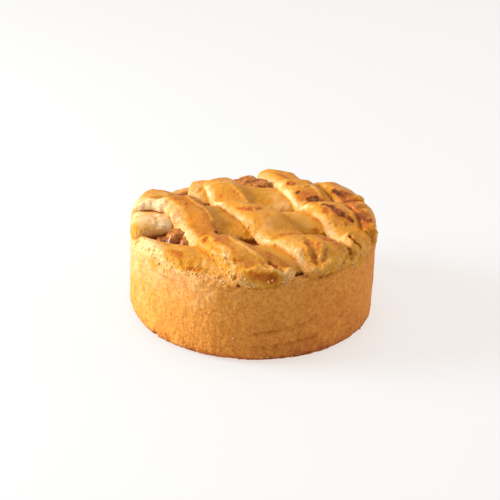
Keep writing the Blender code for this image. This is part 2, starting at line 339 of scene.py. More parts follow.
def make_piece(name: str, points: np.ndarray, faces: np.ndarray | list, normals: np.ndarray | None,
               masks: dict[str, np.ndarray], material: bpy.types.Material) -> bpy.types.Object:
    """Return a smooth mesh object with one value of each mask at every corner.

    Args:
        name: the piece's name.
        points: corners, an array of shape (n, 3).
        faces: corner numbers of each face.
        normals: the corners' normals, where they go on over the piece's edge.
        masks: mask name to n values from 0 to 1.
        material: the piece's finish.

    Returns:
        The new object, linked to the scene.
    """
    mesh = bpy.data.meshes.new(name)
    mesh.from_pydata(points.tolist(), [], faces if isinstance(faces, list) else faces.tolist())
    for mask, values in masks.items():
        layer = mesh.attributes.new(mask, "FLOAT", "POINT")
        layer.data.foreach_set("value", np.clip(values, 0.0, 1.0).astype(np.float32).ravel())
    mesh.shade_smooth()
    if normals is not None:
        mesh.normals_split_custom_set_from_vertices(normals.tolist())
    mesh.materials.append(material)
    piece = bpy.data.objects.new(name, mesh)
    bpy.context.scene.collection.objects.link(piece)
    log.info("%s: %d corners, %d faces", name, len(mesh.vertices), len(mesh.polygons))
    return piece


# ---------------------------------------------------------------- shader maths


class Paint:
    """A socket of a material's node tree, on which sums and products add Math nodes."""

    def __init__(self, recipe: "Recipe", socket: bpy.types.NodeSocket) -> None:
        """Wrap one output socket of a recipe."""
        self.recipe = recipe
        self.socket = socket

    def _math(self, operation: str, *values: "Paint | float") -> "Paint":
        """Return the result of one Math node on some values."""
        return self.recipe.node("ShaderNodeMath", {"operation": operation},
                                dict(enumerate(values)))

    def __add__(self, other: "Paint | float") -> "Paint":
        """Return self + other."""
        return self._math("ADD", self, other)

    __radd__ = __add__

    def __sub__(self, other: "Paint | float") -> "Paint":
        """Return self - other."""
        return self._math("SUBTRACT", self, other)

    def __rsub__(self, other: "Paint | float") -> "Paint":
        """Return other - self."""
        return self._math("SUBTRACT", other, self)

    def __mul__(self, other: "Paint | float") -> "Paint":
        """Return self * other."""
        return self._math("MULTIPLY", self, other)

    def clamped(self) -> "Paint":
        """Return the value held between 0 and 1."""
        return self.recipe.node("ShaderNodeClamp", {}, {"Value": self})

    def rise(self, low: float, high: float) -> "Paint":
        """Return 0 below low, 1 above high, and a smooth rise between them."""
        return self.recipe.node("ShaderNodeMapRange", {"interpolation_type": "SMOOTHSTEP"},
                                {"Value": self, "From Min": low, "From Max": high})


class Recipe:
    """One material, and the ways to add nodes to it."""

    def __init__(self, name: str) -> None:
        """Start an empty node tree with a Principled BSDF on its output."""
        self.material = bpy.data.materials.new(name)
        self.material.use_nodes = True
        self.tree = self.material.node_tree
        self.tree.nodes.clear()
        self.shader = self.tree.nodes.new("ShaderNodeBsdfPrincipled")
        output = self.tree.nodes.new("ShaderNodeOutputMaterial")
        self.tree.links.new(self.shader.outputs[0], output.inputs["Surface"])
        self.place = self.node("ShaderNodeTexCoord", {}, {}, "Object")

    def node(self, kind: str, settings: dict[str, object],
             values: dict[str | int, "Paint | float | tuple[float, ...]"],
             output: str | int = 0) -> Paint:
        """Add a node.

        Args:
            kind: Blender's name for the node's type.
            settings: properties, set before the sockets.
            values: socket name or number to a number, a colour, or another node's result.
            output: name or number of the socket that is returned.

        Returns:
            The chosen output.
        """
        made = self.tree.nodes.new(kind)
        for setting, value in settings.items():
            if setting == "stops":
                self._set_stops(made, value)
            else:
                setattr(made, setting, value)
        for socket, value in values.items():
            self.feed(made.inputs[socket], value)
        return Paint(self, made.outputs[output])

    @staticmethod
    def _set_stops(ramp: bpy.types.Node, stops: Stops) -> None:
        """Give a Color Ramp its stops."""
        elements = ramp.color_ramp.elements
        while len(elements) < len(stops):
            elements.new(0.5)
        for element, (place, colour) in zip(elements, stops):
            element.position = place
            element.color = (*colour, 1.0)

    def feed(self, socket: bpy.types.NodeSocket,
             value: "Paint | float | tuple[float, ...]") -> None:
        """Link a result to a socket, or set a plain value on it."""
        if isinstance(value, Paint):
            self.tree.links.new(value.socket, socket)
        elif isinstance(value, tuple) and len(value) == 3 and socket.type == "RGBA":
            socket.default_value = (*value, 1.0)
        else:
            socket.default_value = value

    def mask(self, name: str) -> Paint:
        """Return one of the piece's masks."""
        return self.node("ShaderNodeAttribute", {"attribute_name": name}, {}, "Fac")

    def noise(self, pitch: float, detail: float = 2.0, rough: float = 0.5,
              shift: float = 0.0) -> Paint:
        """Return noise from 0 to 1.

        Args:
            pitch: size of its largest blotches, in metres.
            detail: how many finer sizes it has.
            rough: how strong the finer sizes are.
            shift: distortion of the pattern.

        Returns:
            The noise's value.
        """
        return self.node("ShaderNodeTexNoise", {"noise_dimensions": "3D"},
                         {"Vector": self.place, "Scale": 1.0 / pitch, "Detail": detail,
                          "Roughness": rough, "Distortion": shift}, "Fac")

    def pores(self, pitch: float) -> Paint:
        """Return the distance from the nearest of some scattered spots, in pitches."""
        return self.node("ShaderNodeTexVoronoi", {"feature": "F1"},
                         {"Vector": self.place, "Scale": 1.0 / pitch}, "Distance")

    def ramp(self, value: Paint, stops: Stops) -> Paint:
        """Return a colour that follows a value through some stops."""
        return self.node("ShaderNodeValToRGB", {"stops": stops}, {"Fac": value}, "Color")

    def blended(self, first: "Paint | tuple[float, ...]", second: "Paint | tuple[float, ...]",
                share: "Paint | float", how: str = "MIX") -> Paint:
        """Return two colours mixed, the second by the given share."""
        return self.node("ShaderNodeMix", {"data_type": "RGBA", "blend_type": how},
                         {0: share, 6: first, 7: second}, 2)

    def relief(self, height: Paint, depth: float, strength: float) -> Paint:
        """Return the normal of a bumpy surface whose bumps are this deep, in metres."""
        return self.node("ShaderNodeBump", {}, {"Strength": strength, "Distance": depth,
                                                "Height": height}, "Normal")

    def finish(self, **sockets: "Paint | float | tuple[float, ...]") -> bpy.types.Material:
        """Set the shader's sockets, each named with _ for a space, and return the material."""
        for name, value in sockets.items():
            self.feed(self.shader.inputs[name.replace("_", " ")], value)
        return self.material


# ---------------------------------------------------------------- finishes

# Dough colours, from pale to burnt. The lid is glazed, and so more golden than the case.
BURNT_STOPS: Stops = (
    (0.84, (0.200, 0.040, 0.006)),
    (1.00, (0.045, 0.013, 0.006)),
)
LID_STOPS: Stops = (
    (0.00, (0.760, 0.535, 0.290)),
    (0.20, (0.670, 0.360, 0.125)),
    (0.40, (0.595, 0.254, 0.034)),
    (0.56, (0.525, 0.200, 0.012)),
    (0.70, (0.420, 0.098, 0.005)),
    *BURNT_STOPS,
)
CASE_STOPS: Stops = (
    (0.00, (0.760, 0.525, 0.310)),
    (0.20, (0.680, 0.370, 0.155)),
    (0.40, (0.625, 0.246, 0.042)),
    (0.56, (0.560, 0.190, 0.030)),
    (0.70, (0.380, 0.098, 0.018)),
    *BURNT_STOPS,
)
SYRUP_STOPS: Stops = (
    (0.00, (0.660, 0.270, 0.060)),
    (0.35, (0.470, 0.150, 0.020)),
    (0.65, (0.230, 0.055, 0.007)),
    (1.00, (0.020, 0.006, 0.003)),
)


@dataclass(frozen=True)
class DoughFinish:
    """Baked shortcrust.

    Its masks say how far it is baked (brown, which in places carries painted shade and painted
    light instead), where the glaze lies (sheen) and where it is rough and floury (crumb). Its stops
    are the colours that it passes through as it bakes. Mottle is how uneven its browning is.
    Speckles is how strongly its grain is lightened and darkened: partly its own speckled colour,
    partly painted light on its raised specks and painted shade in its hollows. Bump is the depth of
    its grain. The last four are the sizes of its patterns, from the largest to the finest, and the
    gap between its pores.
    """

    name: str
    stops: Stops
    mottle: float
    speckles: float
    bump: float
    blotch_size: float = 5.0 * MM
    speck_size: float = 1.7 * MM
    grain_size: float = 0.7 * MM
    pore_gap: float = 1.9 * MM

    def material(self) -> bpy.types.Material:
        """Return the dough's material."""
        recipe = Recipe(self.name)
        brown, sheen, crumb = (recipe.mask(name) for name in ("brown", "sheen", "crumb"))
        blotch = recipe.noise(self.blotch_size, 3.0, 0.55)
        speck = recipe.noise(self.speck_size, 3.0, 0.6, 0.6).rise(0.34, 0.66)
        grain = recipe.noise(self.grain_size, 2.0, 0.6, 0.4).rise(0.32, 0.68)
        pore = recipe.pores(self.pore_gap).rise(0.02, 0.20)
        mottling = (blotch - 0.5) * 0.9 + (speck - 0.5) * 0.10 + (grain - 0.5) * 0.05
        tone = (brown + mottling * self.mottle + (1.0 - pore) * 0.05).clamped()
        colour = recipe.ramp(tone, self.stops)
        rough = 0.36 + crumb * 0.50
        # Painted light and shade on the grain: raised specks are lightened and hollows darkened as
        # the bump lifts them, beside the dough's own speckled colour.
        light = (speck - 0.29) * 0.5 + (grain - 0.5) * 0.4
        shade = (0.5 + light * rough * self.speckles * 1.4).clamped()
        tint = recipe.blended((0.80, 0.64, 0.46), (1.18, 1.33, 1.46), shade)
        colour = recipe.blended(colour, tint, 1.0, "MULTIPLY")
        flour = ((crumb - 0.5) * (grain + speck - 1.05)).clamped()
        colour = recipe.blended(colour, (0.80, 0.45, 0.16), flour * 0.35)
        height = (grain * 0.35 + speck * 0.45 + 0.2) * rough + pore * 0.25
        return recipe.finish(
            Base_Color=colour,
            Roughness=(0.62 - sheen * 0.32 + (speck - 0.5) * 0.2 + crumb * 0.12).clamped(),
            Coat_Weight=(sheen * (0.05 + speck * 0.32) * (1.0 - tone.rise(0.66, 0.86))).clamped(),
            Coat_Roughness=0.16,
            Specular_IOR_Level=0.07,
            Normal=recipe.relief(height, self.bump, 1.0))


@dataclass(frozen=True)
class SyrupFinish:
    """Cooked apple in a dark cinnamon syrup, with the sizes of its patterns and their depth."""

    name: str = "apple_syrup"
    flow_size: float = 2.2 * MM
    speck_size: float = 0.7 * MM
    bump: float = 0.9 * MM

    def material(self) -> bpy.types.Material:
        """Return the filling's material."""
        recipe = Recipe(self.name)
        brown = recipe.mask("brown")
        flow = recipe.noise(self.flow_size, 4.0, 0.6, 0.8)
        speck = recipe.noise(self.speck_size, 3.0, 0.6)
        tone = (brown + (flow - 0.5) * 1.3 + (speck - 0.5) * 0.9).clamped()
        return recipe.finish(
            Base_Color=recipe.ramp(tone, SYRUP_STOPS),
            Roughness=(0.34 + speck * 0.30).clamped(),
            Coat_Weight=0.36,
            Coat_Roughness=0.09,
            Specular_IOR_Level=0.12,
            Normal=recipe.relief(flow * 0.8 + speck * 0.8, self.bump, 0.8))


@dataclass(frozen=True)
class FloorFinish:
    """The plain pale floor: it glows a little, so that it stays pale under a soft shadow."""

    name: str = "pale_floor"
    tint: tuple[float, float, float] = (0.14, 0.20, 0.23)
    glow: tuple[float, float, float] = (0.75, 0.66, 0.61)

    def material(self) -> bpy.types.Material:
        """Return the floor's material."""
        recipe = Recipe(self.name)
        return recipe.finish(Base_Color=self.tint, Roughness=0.6, Specular_IOR_Level=0.25,
                             Emission_Color=self.glow, Emission_Strength=1.0)


# ---------------------------------------------------------------- the photograph's view


@dataclass(frozen=True)
class PhotoView:
    """The photograph's view of the pie, from its front and above.

    Side is the picture's side in pixels. Sensor and lens are in millimetres, shift is in shares
    of the picture's side, and elevation and roll are in degrees.
    """

    side: float = 500.0
    sensor: float = 36.0
    lens: float = 104.63
    shift: tuple[float, float] = (-0.0037, 0.0316)
    elevation: float = 26.5
    roll: float = 2.2
    distance: float = 0.60
    aim_height: float = 17.5 * MM

    def stand(self) -> Matrix:
        """Return the camera's place and turn."""
        tilt = math.radians(self.elevation)
        place = Vector((0.0, -math.cos(tilt), math.sin(tilt))) * self.distance
        turn = (Matrix.Rotation(math.radians(90.0) - tilt, 4, "X")
                @ Matrix.Rotation(math.radians(self.roll), 4, "Z"))
        return Matrix.Translation(place + Vector((0.0, 0.0, self.aim_height))) @ turn

    def seen(self, skin_tree: BVHTree, path: PhotoPath) -> np.ndarray:
        """Return the places on the pie's skin that are seen at some pixels.

        Args:
            skin_tree: the skin.
            path: pixels of the photograph.

        Returns:
            One place for each pixel, in metres, to a tenth of a millimetre.
        """
        stand = self.stand()
        eye, turn = stand.translation, stand.to_3x3()
        spread = self.sensor / self.lens
        places = []
        for right, down in path:
            across = (right / self.side - 0.5 + self.shift[0]) * spread
            up = (0.5 - down / self.side + self.shift[1]) * spread
            way = (turn @ Vector((across, up, -1.0))).normalized()
            place = skin_tree.ray_cast(eye, way)[0]
            if place is None:
                place = skin_tree.find_nearest(eye + way * self.distance)[0]
            places.append(place)
        return np.round(np.array(places), 4)


# ---------------------------------------------------------------- the lid


@dataclass(frozen=True)
class Mark:
    """A place on the pastry where it is browner, raised, shiny or crumbly.

    The path is where the photograph shows it. Width is in millimetres, from its middle to where
    it fades, and wander is how much its edge strays, as a share of the width. A ridge's amount
    is in millimetres. Its speckles are how unevenly a mark lies, as a share of its amount.
    """

    # A brown-and-shade mark changes how brown the dough is; some of them paint shade or light
    # instead.
    kind: MarkKind
    path: PhotoPath
    width: float
    amount: float
    wander: float = 0.5
    speckles: float = 0.45

    def strength(self, points: np.ndarray, path: np.ndarray) -> np.ndarray:
        """Return the mark's amount at some places.

        Args:
            points: the places, an array of shape (n, 3) in metres.
            path: the mark's path on the pastry, in rows of three, in metres.

        Returns:
            One amount for each place.
        """
        away = distance_to_path(points, path)
        width = self.width * MM
        total = np.zeros(len(points))
        near = away < 1.8 * width
        stray = layered(points[near], max(width * 1.2, 0.8 * MM), layers=3, seed=91)
        stray *= self.wander * width
        uneven = 1.0 + self.speckles * layered(points[near], 1.5 * MM, layers=3, seed=93)
        fade = 1.0 - smooth_step(0.25 * width, 1.1 * width, away[near] + stray)
        total[near] = self.amount * fade * uneven
        return total


def rim_fall(x: np.ndarray, y: np.ndarray) -> np.ndarray:
    """Return how far the rim's rounded edge has fallen below its top at some places in plan."""
    beyond = np.hypot(x, y) - (PIE_RADIUS - RIM_ROUND)
    beyond = np.clip(beyond, 0.0, 0.97 * RIM_ROUND)
    return RIM_ROUND - np.sqrt(RIM_ROUND * RIM_ROUND - beyond * beyond)


@dataclass(frozen=True)
class Spot:
    """Where some places in plan are on a strip, in metres."""

    across: np.ndarray
    half: np.ndarray
    puff: np.ndarray


@dataclass
class CentreLine:
    """The smooth line that a strip follows.

    Steps is how many places are sampled between two knots, and reach how many places before
    and after one its heading is taken from. Cap is how far the strip goes on past the ends.
    """

    knots: tuple[tuple[float, float, float, float], ...]
    steps: int = 16
    reach: int = 4
    cap: float = 1.6 * MM
    places: np.ndarray = field(init=False)
    headings: np.ndarray = field(init=False)
    growth: np.ndarray = field(init=False)

    def __post_init__(self) -> None:
        """Work out the line's points, its headings and how its width and puff change."""
        knots = np.array(self.knots) * MM
        knots = np.vstack([2.0 * knots[0] - knots[1], knots, 2.0 * knots[-1] - knots[-2]])
        t = (np.arange(self.steps) / self.steps)[:, None]
        spans = []
        for a, b, c, d in zip(knots, knots[1:], knots[2:], knots[3:]):
            spans.append(0.5 * (2.0 * b + (c - a) * t + (2.0 * a - 5.0 * b + 4.0 * c - d) * t * t
                                + (3.0 * b - a - 3.0 * c + d) * t * t * t))
        self.places = np.vstack([*spans, knots[-2:-1]])
        count = len(self.places)
        before = np.maximum(0, np.arange(count) - self.reach)
        after = np.minimum(count - 1, np.arange(count) + self.reach)
        way = self.places[after] - self.places[before]
        length = np.linalg.norm(way[:, :2], axis=1, keepdims=True)
        self.headings = way[:, :2] / length
        self.growth = way[:, 2:] / length

    def locate(self, x: np.ndarray, y: np.ndarray) -> Spot:
        """Return where some places in plan are on the strip; across is negative in front."""
        places = np.stack([x.ravel(), y.ravel()], axis=1)
        index = np.concatenate([
            ((part[:, None, :] - self.places[None, :, :2]) ** 2).sum(axis=2).argmin(axis=1)
            for part in np.array_split(places, max(1, len(places) // 20000))])
        offset = places - self.places[index, :2]
        heading = self.headings[index]
        ahead = (offset * heading).sum(axis=1)
        across = heading[:, 0] * offset[:, 1] - heading[:, 1] * offset[:, 0]
        beyond = np.where(index == 0, np.maximum(-ahead, 0.0), 0.0)
        beyond += np.where(index == len(self.places) - 1, np.maximum(ahead, 0.0), 0.0)
        side = np.where(across < 0.0, -1.0, 1.0)
        within = np.where(beyond > 0.0, 0.0, ahead)[:, None]
        rest = self.places[index, 2:] + self.growth[index] * within
        beyond = beyond * 0.5 * rest[:, 0] / self.cap
        return Spot((side * np.hypot(across, beyond)).reshape(x.shape),
                    0.5 * rest[:, 0].reshape(x.shape), rest[:, 1].reshape(x.shape))


@dataclass(frozen=True)
class Strip:
    """One strip of dough in the lid.

    The knots are in millimetres: x, y, width and how much it puffs up. Square says how boxy
    its section is on the front side and on the back side: 2 is an ellipse.
    Fuse is the length over which it melts into the rim, and droop the one over which its top
    rounds down at the pie's side. Drape is the share by which it follows the rim's rounded edge,
    and sunk is how far it reaches into what it lies on. Ragged and undercut are how far its
    edges stray, and how far they draw in below, between two heights over what it lies on. Bare
    and glaze are how brown it is beside its glaze and on it, and the glaze starts at that share
    of its half width. The next four say how brown and how rough it is on the rim, how rough
    beside the glaze, and how shiny. The last three are the radii between which its glaze ends
    and it turns brown and rough.
    """

    name: str
    layer: Layer
    knots: tuple[tuple[float, float, float, float], ...]
    fuse: float = 1.6
    droop: float = 3.0
    drape: float = 1.0
    sunk: float = 2.2
    square: tuple[float, float] = (2.3, 3.8)
    ragged: float = 0.35
    undercut: float = 0.8
    undercut_from: tuple[float, float] = (-0.6 * MM, 0.9 * MM)
    bare: float = 0.25
    glaze: float = 0.55
    glaze_from: float = -0.62
    rim_brown: float = 0.12
    rim_crumb: float = 0.40
    bare_crumb: float = 0.38
    shine: float = 0.9
    glaze_ends: tuple[float, float] = (46.5 * MM, 49.6 * MM)
    browns: tuple[float, float] = (44.5 * MM, 49.5 * MM)
    roughens: tuple[float, float] = (45.5 * MM, 49.0 * MM)
    marks: tuple[Mark, ...] = ()

    @property
    def thick(self) -> float:
        """Return the strip's thickness."""
        return UNDER_THICK if self.layer is Layer.UNDER else OVER_THICK

    def distance(self, spot: Spot, bed: np.ndarray, z: np.ndarray,
                 ragged: np.ndarray) -> np.ndarray:
        """Return the signed distance from the strip's surface.

        Args:
            spot: where the places are on the strip.
            bed: height on which the strip lies there.
            z: the places' heights, an array that broadcasts against the rest.
            ragged: how far the strip's edges stray there, from -1 to 1.

        Returns:
            Distances in metres, below zero inside.
        """
        above = z - bed
        top = self.thick + spot.puff
        half = spot.half + self.ragged * MM * ragged
        half = half - self.undercut * MM * (1.0 - smooth_step(*self.undercut_from, above))
        power = np.where(spot.across < 0.0, *self.square)
        u, h = np.abs(spot.across) / half, np.maximum(above, 0.0) / top
        size = np.maximum((u ** power + h ** power) ** (1.0 / power), 0.05)
        slope = np.hypot((u / size) ** (power - 1.0) / half, (h / size) ** (power - 1.0) / top)
        body = (size - 1.0) / slope
        return np.maximum(body, -self.sunk * MM - above)

    def masks(self, points: np.ndarray, spot: Spot, bed: np.ndarray,
              stray: np.ndarray) -> dict[str, np.ndarray]:
        """Return the strip's masks: its crown is glazed, and its end on the rim is rough.

        Args:
            points: places on the strip, an array of shape (n, 3) in metres.
            spot: where they are on the strip.
            bed: height on which the strip lies there.
            stray: how far the glaze's edge strays there, from -1 to 1.

        Returns:
            The masks brown, sheen and crumb.
        """
        share = spot.across / spot.half + 0.16 * stray
        crown = smooth_step(self.glaze_from - 0.18, self.glaze_from + 0.18, share)
        up = (points[:, 2] - bed) / self.thick + 0.1 * stray
        crown = crown * smooth_step(0.15, 0.60, up)
        outer = np.hypot(points[:, 0], points[:, 1]) + 1.2 * MM * stray
        crown = crown * (1.0 - smooth_step(*self.glaze_ends, outer))
        bare = self.bare + self.rim_brown * smooth_step(*self.browns, outer)
        rough_end = smooth_step(*self.roughens, outer)
        return {"brown": bare + (self.glaze - bare) * crown,
                "sheen": self.shine * crown * smooth_step(0.35, 0.55, self.glaze),
                "crumb": self.bare_crumb * (1.0 - crown) + self.rim_crumb * rough_end}


@dataclass(frozen=True)
class Surface:
    """The pastry's skin: its points, its normals, how crumbly it is there, and a tree of the
    plain skin under its relief.
    """

    points: np.ndarray
    normals: np.ndarray
    crumb: np.ndarray
    tree: BVHTree


@dataclass(frozen=True)
class CaseBrowningAndShade:
    """How brown the case is: shares that are added or taken off where they apply.

    It is painted paler at the left, where the key light falls, most of all high up, and painted
    darker low at the right, where it lies in shade. It is darker at the very edge of the foot.
    Upper and lower bands are shares of the rim's height.
    """

    plain: float = 0.465
    upper: float = 0.04
    foot: float = 0.10
    edge: float = 0.14
    # Left and upper left are painted light, taken off the brown where the key light falls; low
    # right is painted shade.
    left: float = 0.11
    upper_left: float = 0.15
    low_right: float = 0.13
    clouds: float = 0.04
    upper_band: tuple[float, float] = (0.45, 0.95)
    lower_band: tuple[float, float] = (0.3, 0.9)
    edge_height: tuple[float, float] = (0.3 * MM, 3.6 * MM)
    cloud_size: float = 9.0 * MM
    small_cloud_size: float = 2.4 * MM

    def at(self, points: np.ndarray, foot: np.ndarray) -> np.ndarray:
        """Return how brown it is at some places, given how much each belongs to the foot."""
        height = points[:, 2] / RIM_HEIGHT
        bearing = np.arctan2(points[:, 1], points[:, 0])
        left = 0.5 - 0.5 * np.cos(bearing)
        right = (0.5 + 0.5 * np.cos(bearing + 1.0)) ** 2
        upper = smooth_step(*self.upper_band, height)
        edge = 1.0 - smooth_step(*self.edge_height, points[:, 2])
        clouds = layered(points, self.cloud_size, layers=3, seed=51)
        clouds += layered(points, self.small_cloud_size, layers=3, seed=53)
        brown = self.plain + self.upper * upper + self.foot * foot + self.edge * edge
        # Painted light on the left side, and painted shade low on the right.
        brown -= (self.left + self.upper_left * upper) * left
        brown += self.low_right * right * (1.0 - smooth_step(*self.lower_band, height))
        return brown + self.clouds * clouds


@dataclass(frozen=True)
class Relief:
    """The skin's fine relief: its depths, in millimetres, and the sizes of its patterns.

    The case swells and dents gently, with pits in it and bites out of its foot. The strips are
    lumpy. Both have a grain that is deepest where they are crumbly, and that runs aslant.
    """

    swells: float = 0.30
    dents: float = 0.14
    lumps: float = 0.22
    small_lumps: float = 0.07
    case_grain: float = 0.30
    strip_grain: float = 0.24
    pits: float = 0.35
    bites: float = 0.80
    swell_size: float = 17.0 * MM
    dent_size: float = 7.0 * MM
    lump_size: float = 6.5 * MM
    small_lump_size: float = 2.0 * MM
    grain_size: float = 1.7 * MM
    pit_gap: float = 2.6 * MM
    bite_size: float = 2.6 * MM
    foot_height: tuple[float, float] = (1.0 * MM, 6.0 * MM)
    stretch: tuple[float, float, float] = (1.0, 1.0, 0.8)
    slant: tuple[tuple[float, float, float], ...] = (
        (1.0, 0.0, 0.35),
        (0.0, 1.0, 0.0),
        (-0.35, 0.0, 0.7),
    )

    def height(self, points: np.ndarray, case: np.ndarray,
               masks: dict[str, np.ndarray]) -> np.ndarray:
        """Return how far each point moves out along its normal.

        Args:
            points: the skin's points, an array of shape (n, 3) in metres.
            case: whether each of them belongs to the case.
            masks: the skin's masks, of which crumb and ridge are used.

        Returns:
            One distance for each point, in metres.
        """
        stretched = points * np.array(self.stretch)
        swells = swell(stretched, self.swell_size, seed=2) * self.swells
        swells += layered(stretched, self.dent_size, layers=2, seed=5) * self.dents
        lumps = layered(points, self.lump_size, layers=3, seed=3) * self.lumps
        lumps += layered(points, self.small_lump_size, layers=2, seed=7) * self.small_lumps
        slanted = points @ np.array(self.slant)
        grain = layered(slanted, self.grain_size, layers=3, seed=29)
        grain *= np.clip(masks["crumb"], 0.0, 1.1)
        grain *= np.where(case, self.case_grain, self.strip_grain)
        near, own = grains(points, self.pit_gap, seed=21)
        pits = (own > 0.80) * (1.0 - smooth_step(0.0, 0.22, near)) * self.pits
        foot = 1.0 - smooth_step(*self.foot_height, points[:, 2])
        ragged = layered(points, self.bite_size, layers=3, seed=15)
        bites = foot * smooth_step(0.05, 0.75, ragged) * self.bites
        total = np.where(case, swells - pits - bites, lumps) + grain + masks["ridge"]
        return total * smooth_step(0.0, 1.2 * MM, points[:, 2]) * MM


@dataclass
class Pastry:
    """The baked pastry: the case and the lid's strips, melted together where they touch. Its own
    marks lie across all of them.

    Its skin is sampled on a grid of cubes, one step wide. Plug is the level of the dough below
    the open well, contact the length over which strips melt together, and sag how far an over
    strip stays up between two under strips. Crest is where an under strip starts and stops
    lifting it, in shares of its half width. Melts and seam ends are the radii between which
    strips start to melt into the rim, and the seams between them, darkened with painted shade, end.
    """

    strips: tuple[Strip, ...]
    marks: tuple[Mark, ...]
    step: float = 0.42 * MM
    floor_margin: float = 0.8 * MM
    side_margin: float = 1.2 * MM
    grid_top: float = 47.0 * MM
    plug: float = 33.6 * MM
    lid_from: float = 30.0 * MM
    contact: float = 0.12 * MM
    sag: float = 0.10
    crest: tuple[float, float] = (0.44, 1.18)
    foot_round: float = 4.2 * MM
    well_round: float = 1.2 * MM
    press_round: float = 0.8 * MM
    press_gap: float = 0.2 * MM
    rim_stray: float = 0.3 * MM
    melts: tuple[float, float] = (43.5 * MM, 48.5 * MM)
    seam_width: tuple[float, float] = (0.15 * MM, 1.0 * MM)
    seam_ends: tuple[float, float] = (43.5 * MM, 47.0 * MM)
    seam_shade: float = 0.13
    seam_depth: float = 0.30
    case_lead: float = 0.1 * MM
    case_sheen: float = 0.04
    case_crumb: float = 0.45
    rim_crumb: float = 0.25
    foot_crumb: float = 0.3
    case_browning_and_shade: CaseBrowningAndShade = CaseBrowningAndShade()
    fine_relief: Relief = Relief()
    view: PhotoView = PhotoView()
    lines: list[CentreLine] = field(init=False)

    def __post_init__(self) -> None:
        """Sample the strips' lines."""
        self.lines = [CentreLine(strip.knots) for strip in self.strips]

    def case_distance(self, radius: np.ndarray, z: np.ndarray) -> np.ndarray:
        """Return the signed distance from the case, closed under the filling."""
        low = z < 0.5 * RIM_HEIGHT
        bend = np.where(low, self.foot_round, RIM_ROUND)
        side = radius - PIE_RADIUS + bend
        rise = np.where(low, -z, z - RIM_HEIGHT) + bend
        outside = np.hypot(np.maximum(side, 0.0), np.maximum(rise, 0.0))
        body = outside + np.minimum(np.maximum(side, rise), 0.0) - bend
        well = np.minimum(PIE_RADIUS - WALL - radius, z - self.plug)
        return blended_cut(body, well, self.well_round)

    def beds(self, spots: Sequence[Spot], x: np.ndarray, y: np.ndarray) -> list[np.ndarray]:
        """Return the height on which each strip lies at some places in plan."""
        fall = rim_fall(x, y)
        lift = np.zeros_like(x)
        for strip, spot in zip(self.strips, spots):
            if strip.layer is Layer.UNDER:
                share = np.abs(spot.across) / spot.half
                lift = np.maximum(lift, 1.0 - smooth_step(*self.crest, share))
        raised = UNDER_THICK * (self.sag + (1.0 - self.sag) * lift)
        return [BED_LEVEL - strip.drape * fall + (strip.layer is Layer.OVER) * raised
                for strip in self.strips]

    def strip_distances(self, x: np.ndarray, y: np.ndarray,
                        z: np.ndarray) -> tuple[list[np.ndarray], list[Spot], list[np.ndarray]]:
        """Return each strip's signed distance, pressed flat and trimmed at the rim, with its
        spots and bed.
        """
        spots = [line.locate(x, y) for line in self.lines]
        beds = self.beds(spots, x, y)
        flat = np.stack([x, y, np.full_like(x, EDGE_LEVEL)], axis=-1)
        ragged = layered(flat, 3.4 * MM, layers=4, seed=11)
        radius = np.hypot(x, y)
        roof = np.interp(radius, PRESS_RADII, PRESS_HEIGHTS)
        rim = PIE_RADIUS + self.rim_stray * layered(flat, 3.0 * MM, layers=3, seed=5)
        grow = (slice(None),) * x.ndim + (None,) * (z.ndim - x.ndim)
        made = []
        for strip, spot, bed in zip(self.strips, spots, beds):
            wide = Spot(*(part[grow] for part in (spot.across, spot.half, spot.puff)))
            body = strip.distance(wide, bed[grow], z, ragged[grow])
            body = blended_cut(body, z - roof[grow] + self.press_gap, self.press_round)
            made.append(blended_cut(body, (radius - rim)[grow], strip.droop * MM))
        return made, spots, beds

    def field_values(self) -> tuple[np.ndarray, np.ndarray]:
        """Return the pastry's signed distances on a grid, and the grid's first node."""
        reach = PIE_RADIUS + self.side_margin
        flat = np.arange(-reach, reach + self.step, self.step)
        levels = np.arange(-self.floor_margin, self.grid_top, self.step)
        x, y = np.meshgrid(flat, flat, indexing="ij")
        radius = np.hypot(x, y)
        values = self.case_distance(radius[..., None], levels).astype(np.float32)
        first = int(np.searchsorted(levels, self.lid_from))
        upper = values[..., first:]
        made, _, _ = self.strip_distances(x, y, levels[None, None, first:])
        near_rim = smooth_step(*self.melts, radius)[..., None]
        for strip, distance in zip(self.strips, made):
            blend = self.contact + (strip.fuse * MM - self.contact) * near_rim
            upper = blended_union(upper, distance, blend).astype(np.float32)
        values[..., first:] = upper
        return values, np.array((flat[0], flat[0], levels[0]))

    def shape(self) -> tuple[np.ndarray, np.ndarray]:
        """Return the pastry's points and faces."""
        values, low = self.field_values()
        points, faces = skin(values, low, self.step)
        points = relaxed(points, faces, 2, 0.5)
        points[:, 2] = np.maximum(points[:, 2], 0.0)
        return points, faces

    def owners(self, points: np.ndarray) -> tuple[np.ndarray, np.ndarray, list[Spot],
                                                  list[np.ndarray]]:
        """Return which piece each point belongs to, 0 for the case, how near it is to a seam
        between two of them, from 0 to 1, and the spots and beds.
        """
        x, y, z = points.T
        made, spots, beds = self.strip_distances(x, y, z)
        radius = np.hypot(x, y)
        case = self.case_distance(radius, z) - self.case_lead
        distances = np.stack([case, *made])
        second = np.partition(distances, 1, axis=0)[1]
        seam = 1.0 - smooth_step(*self.seam_width, second)
        seam = seam * (1.0 - smooth_step(*self.seam_ends, radius))
        return np.argmin(distances, axis=0), seam, spots, beds

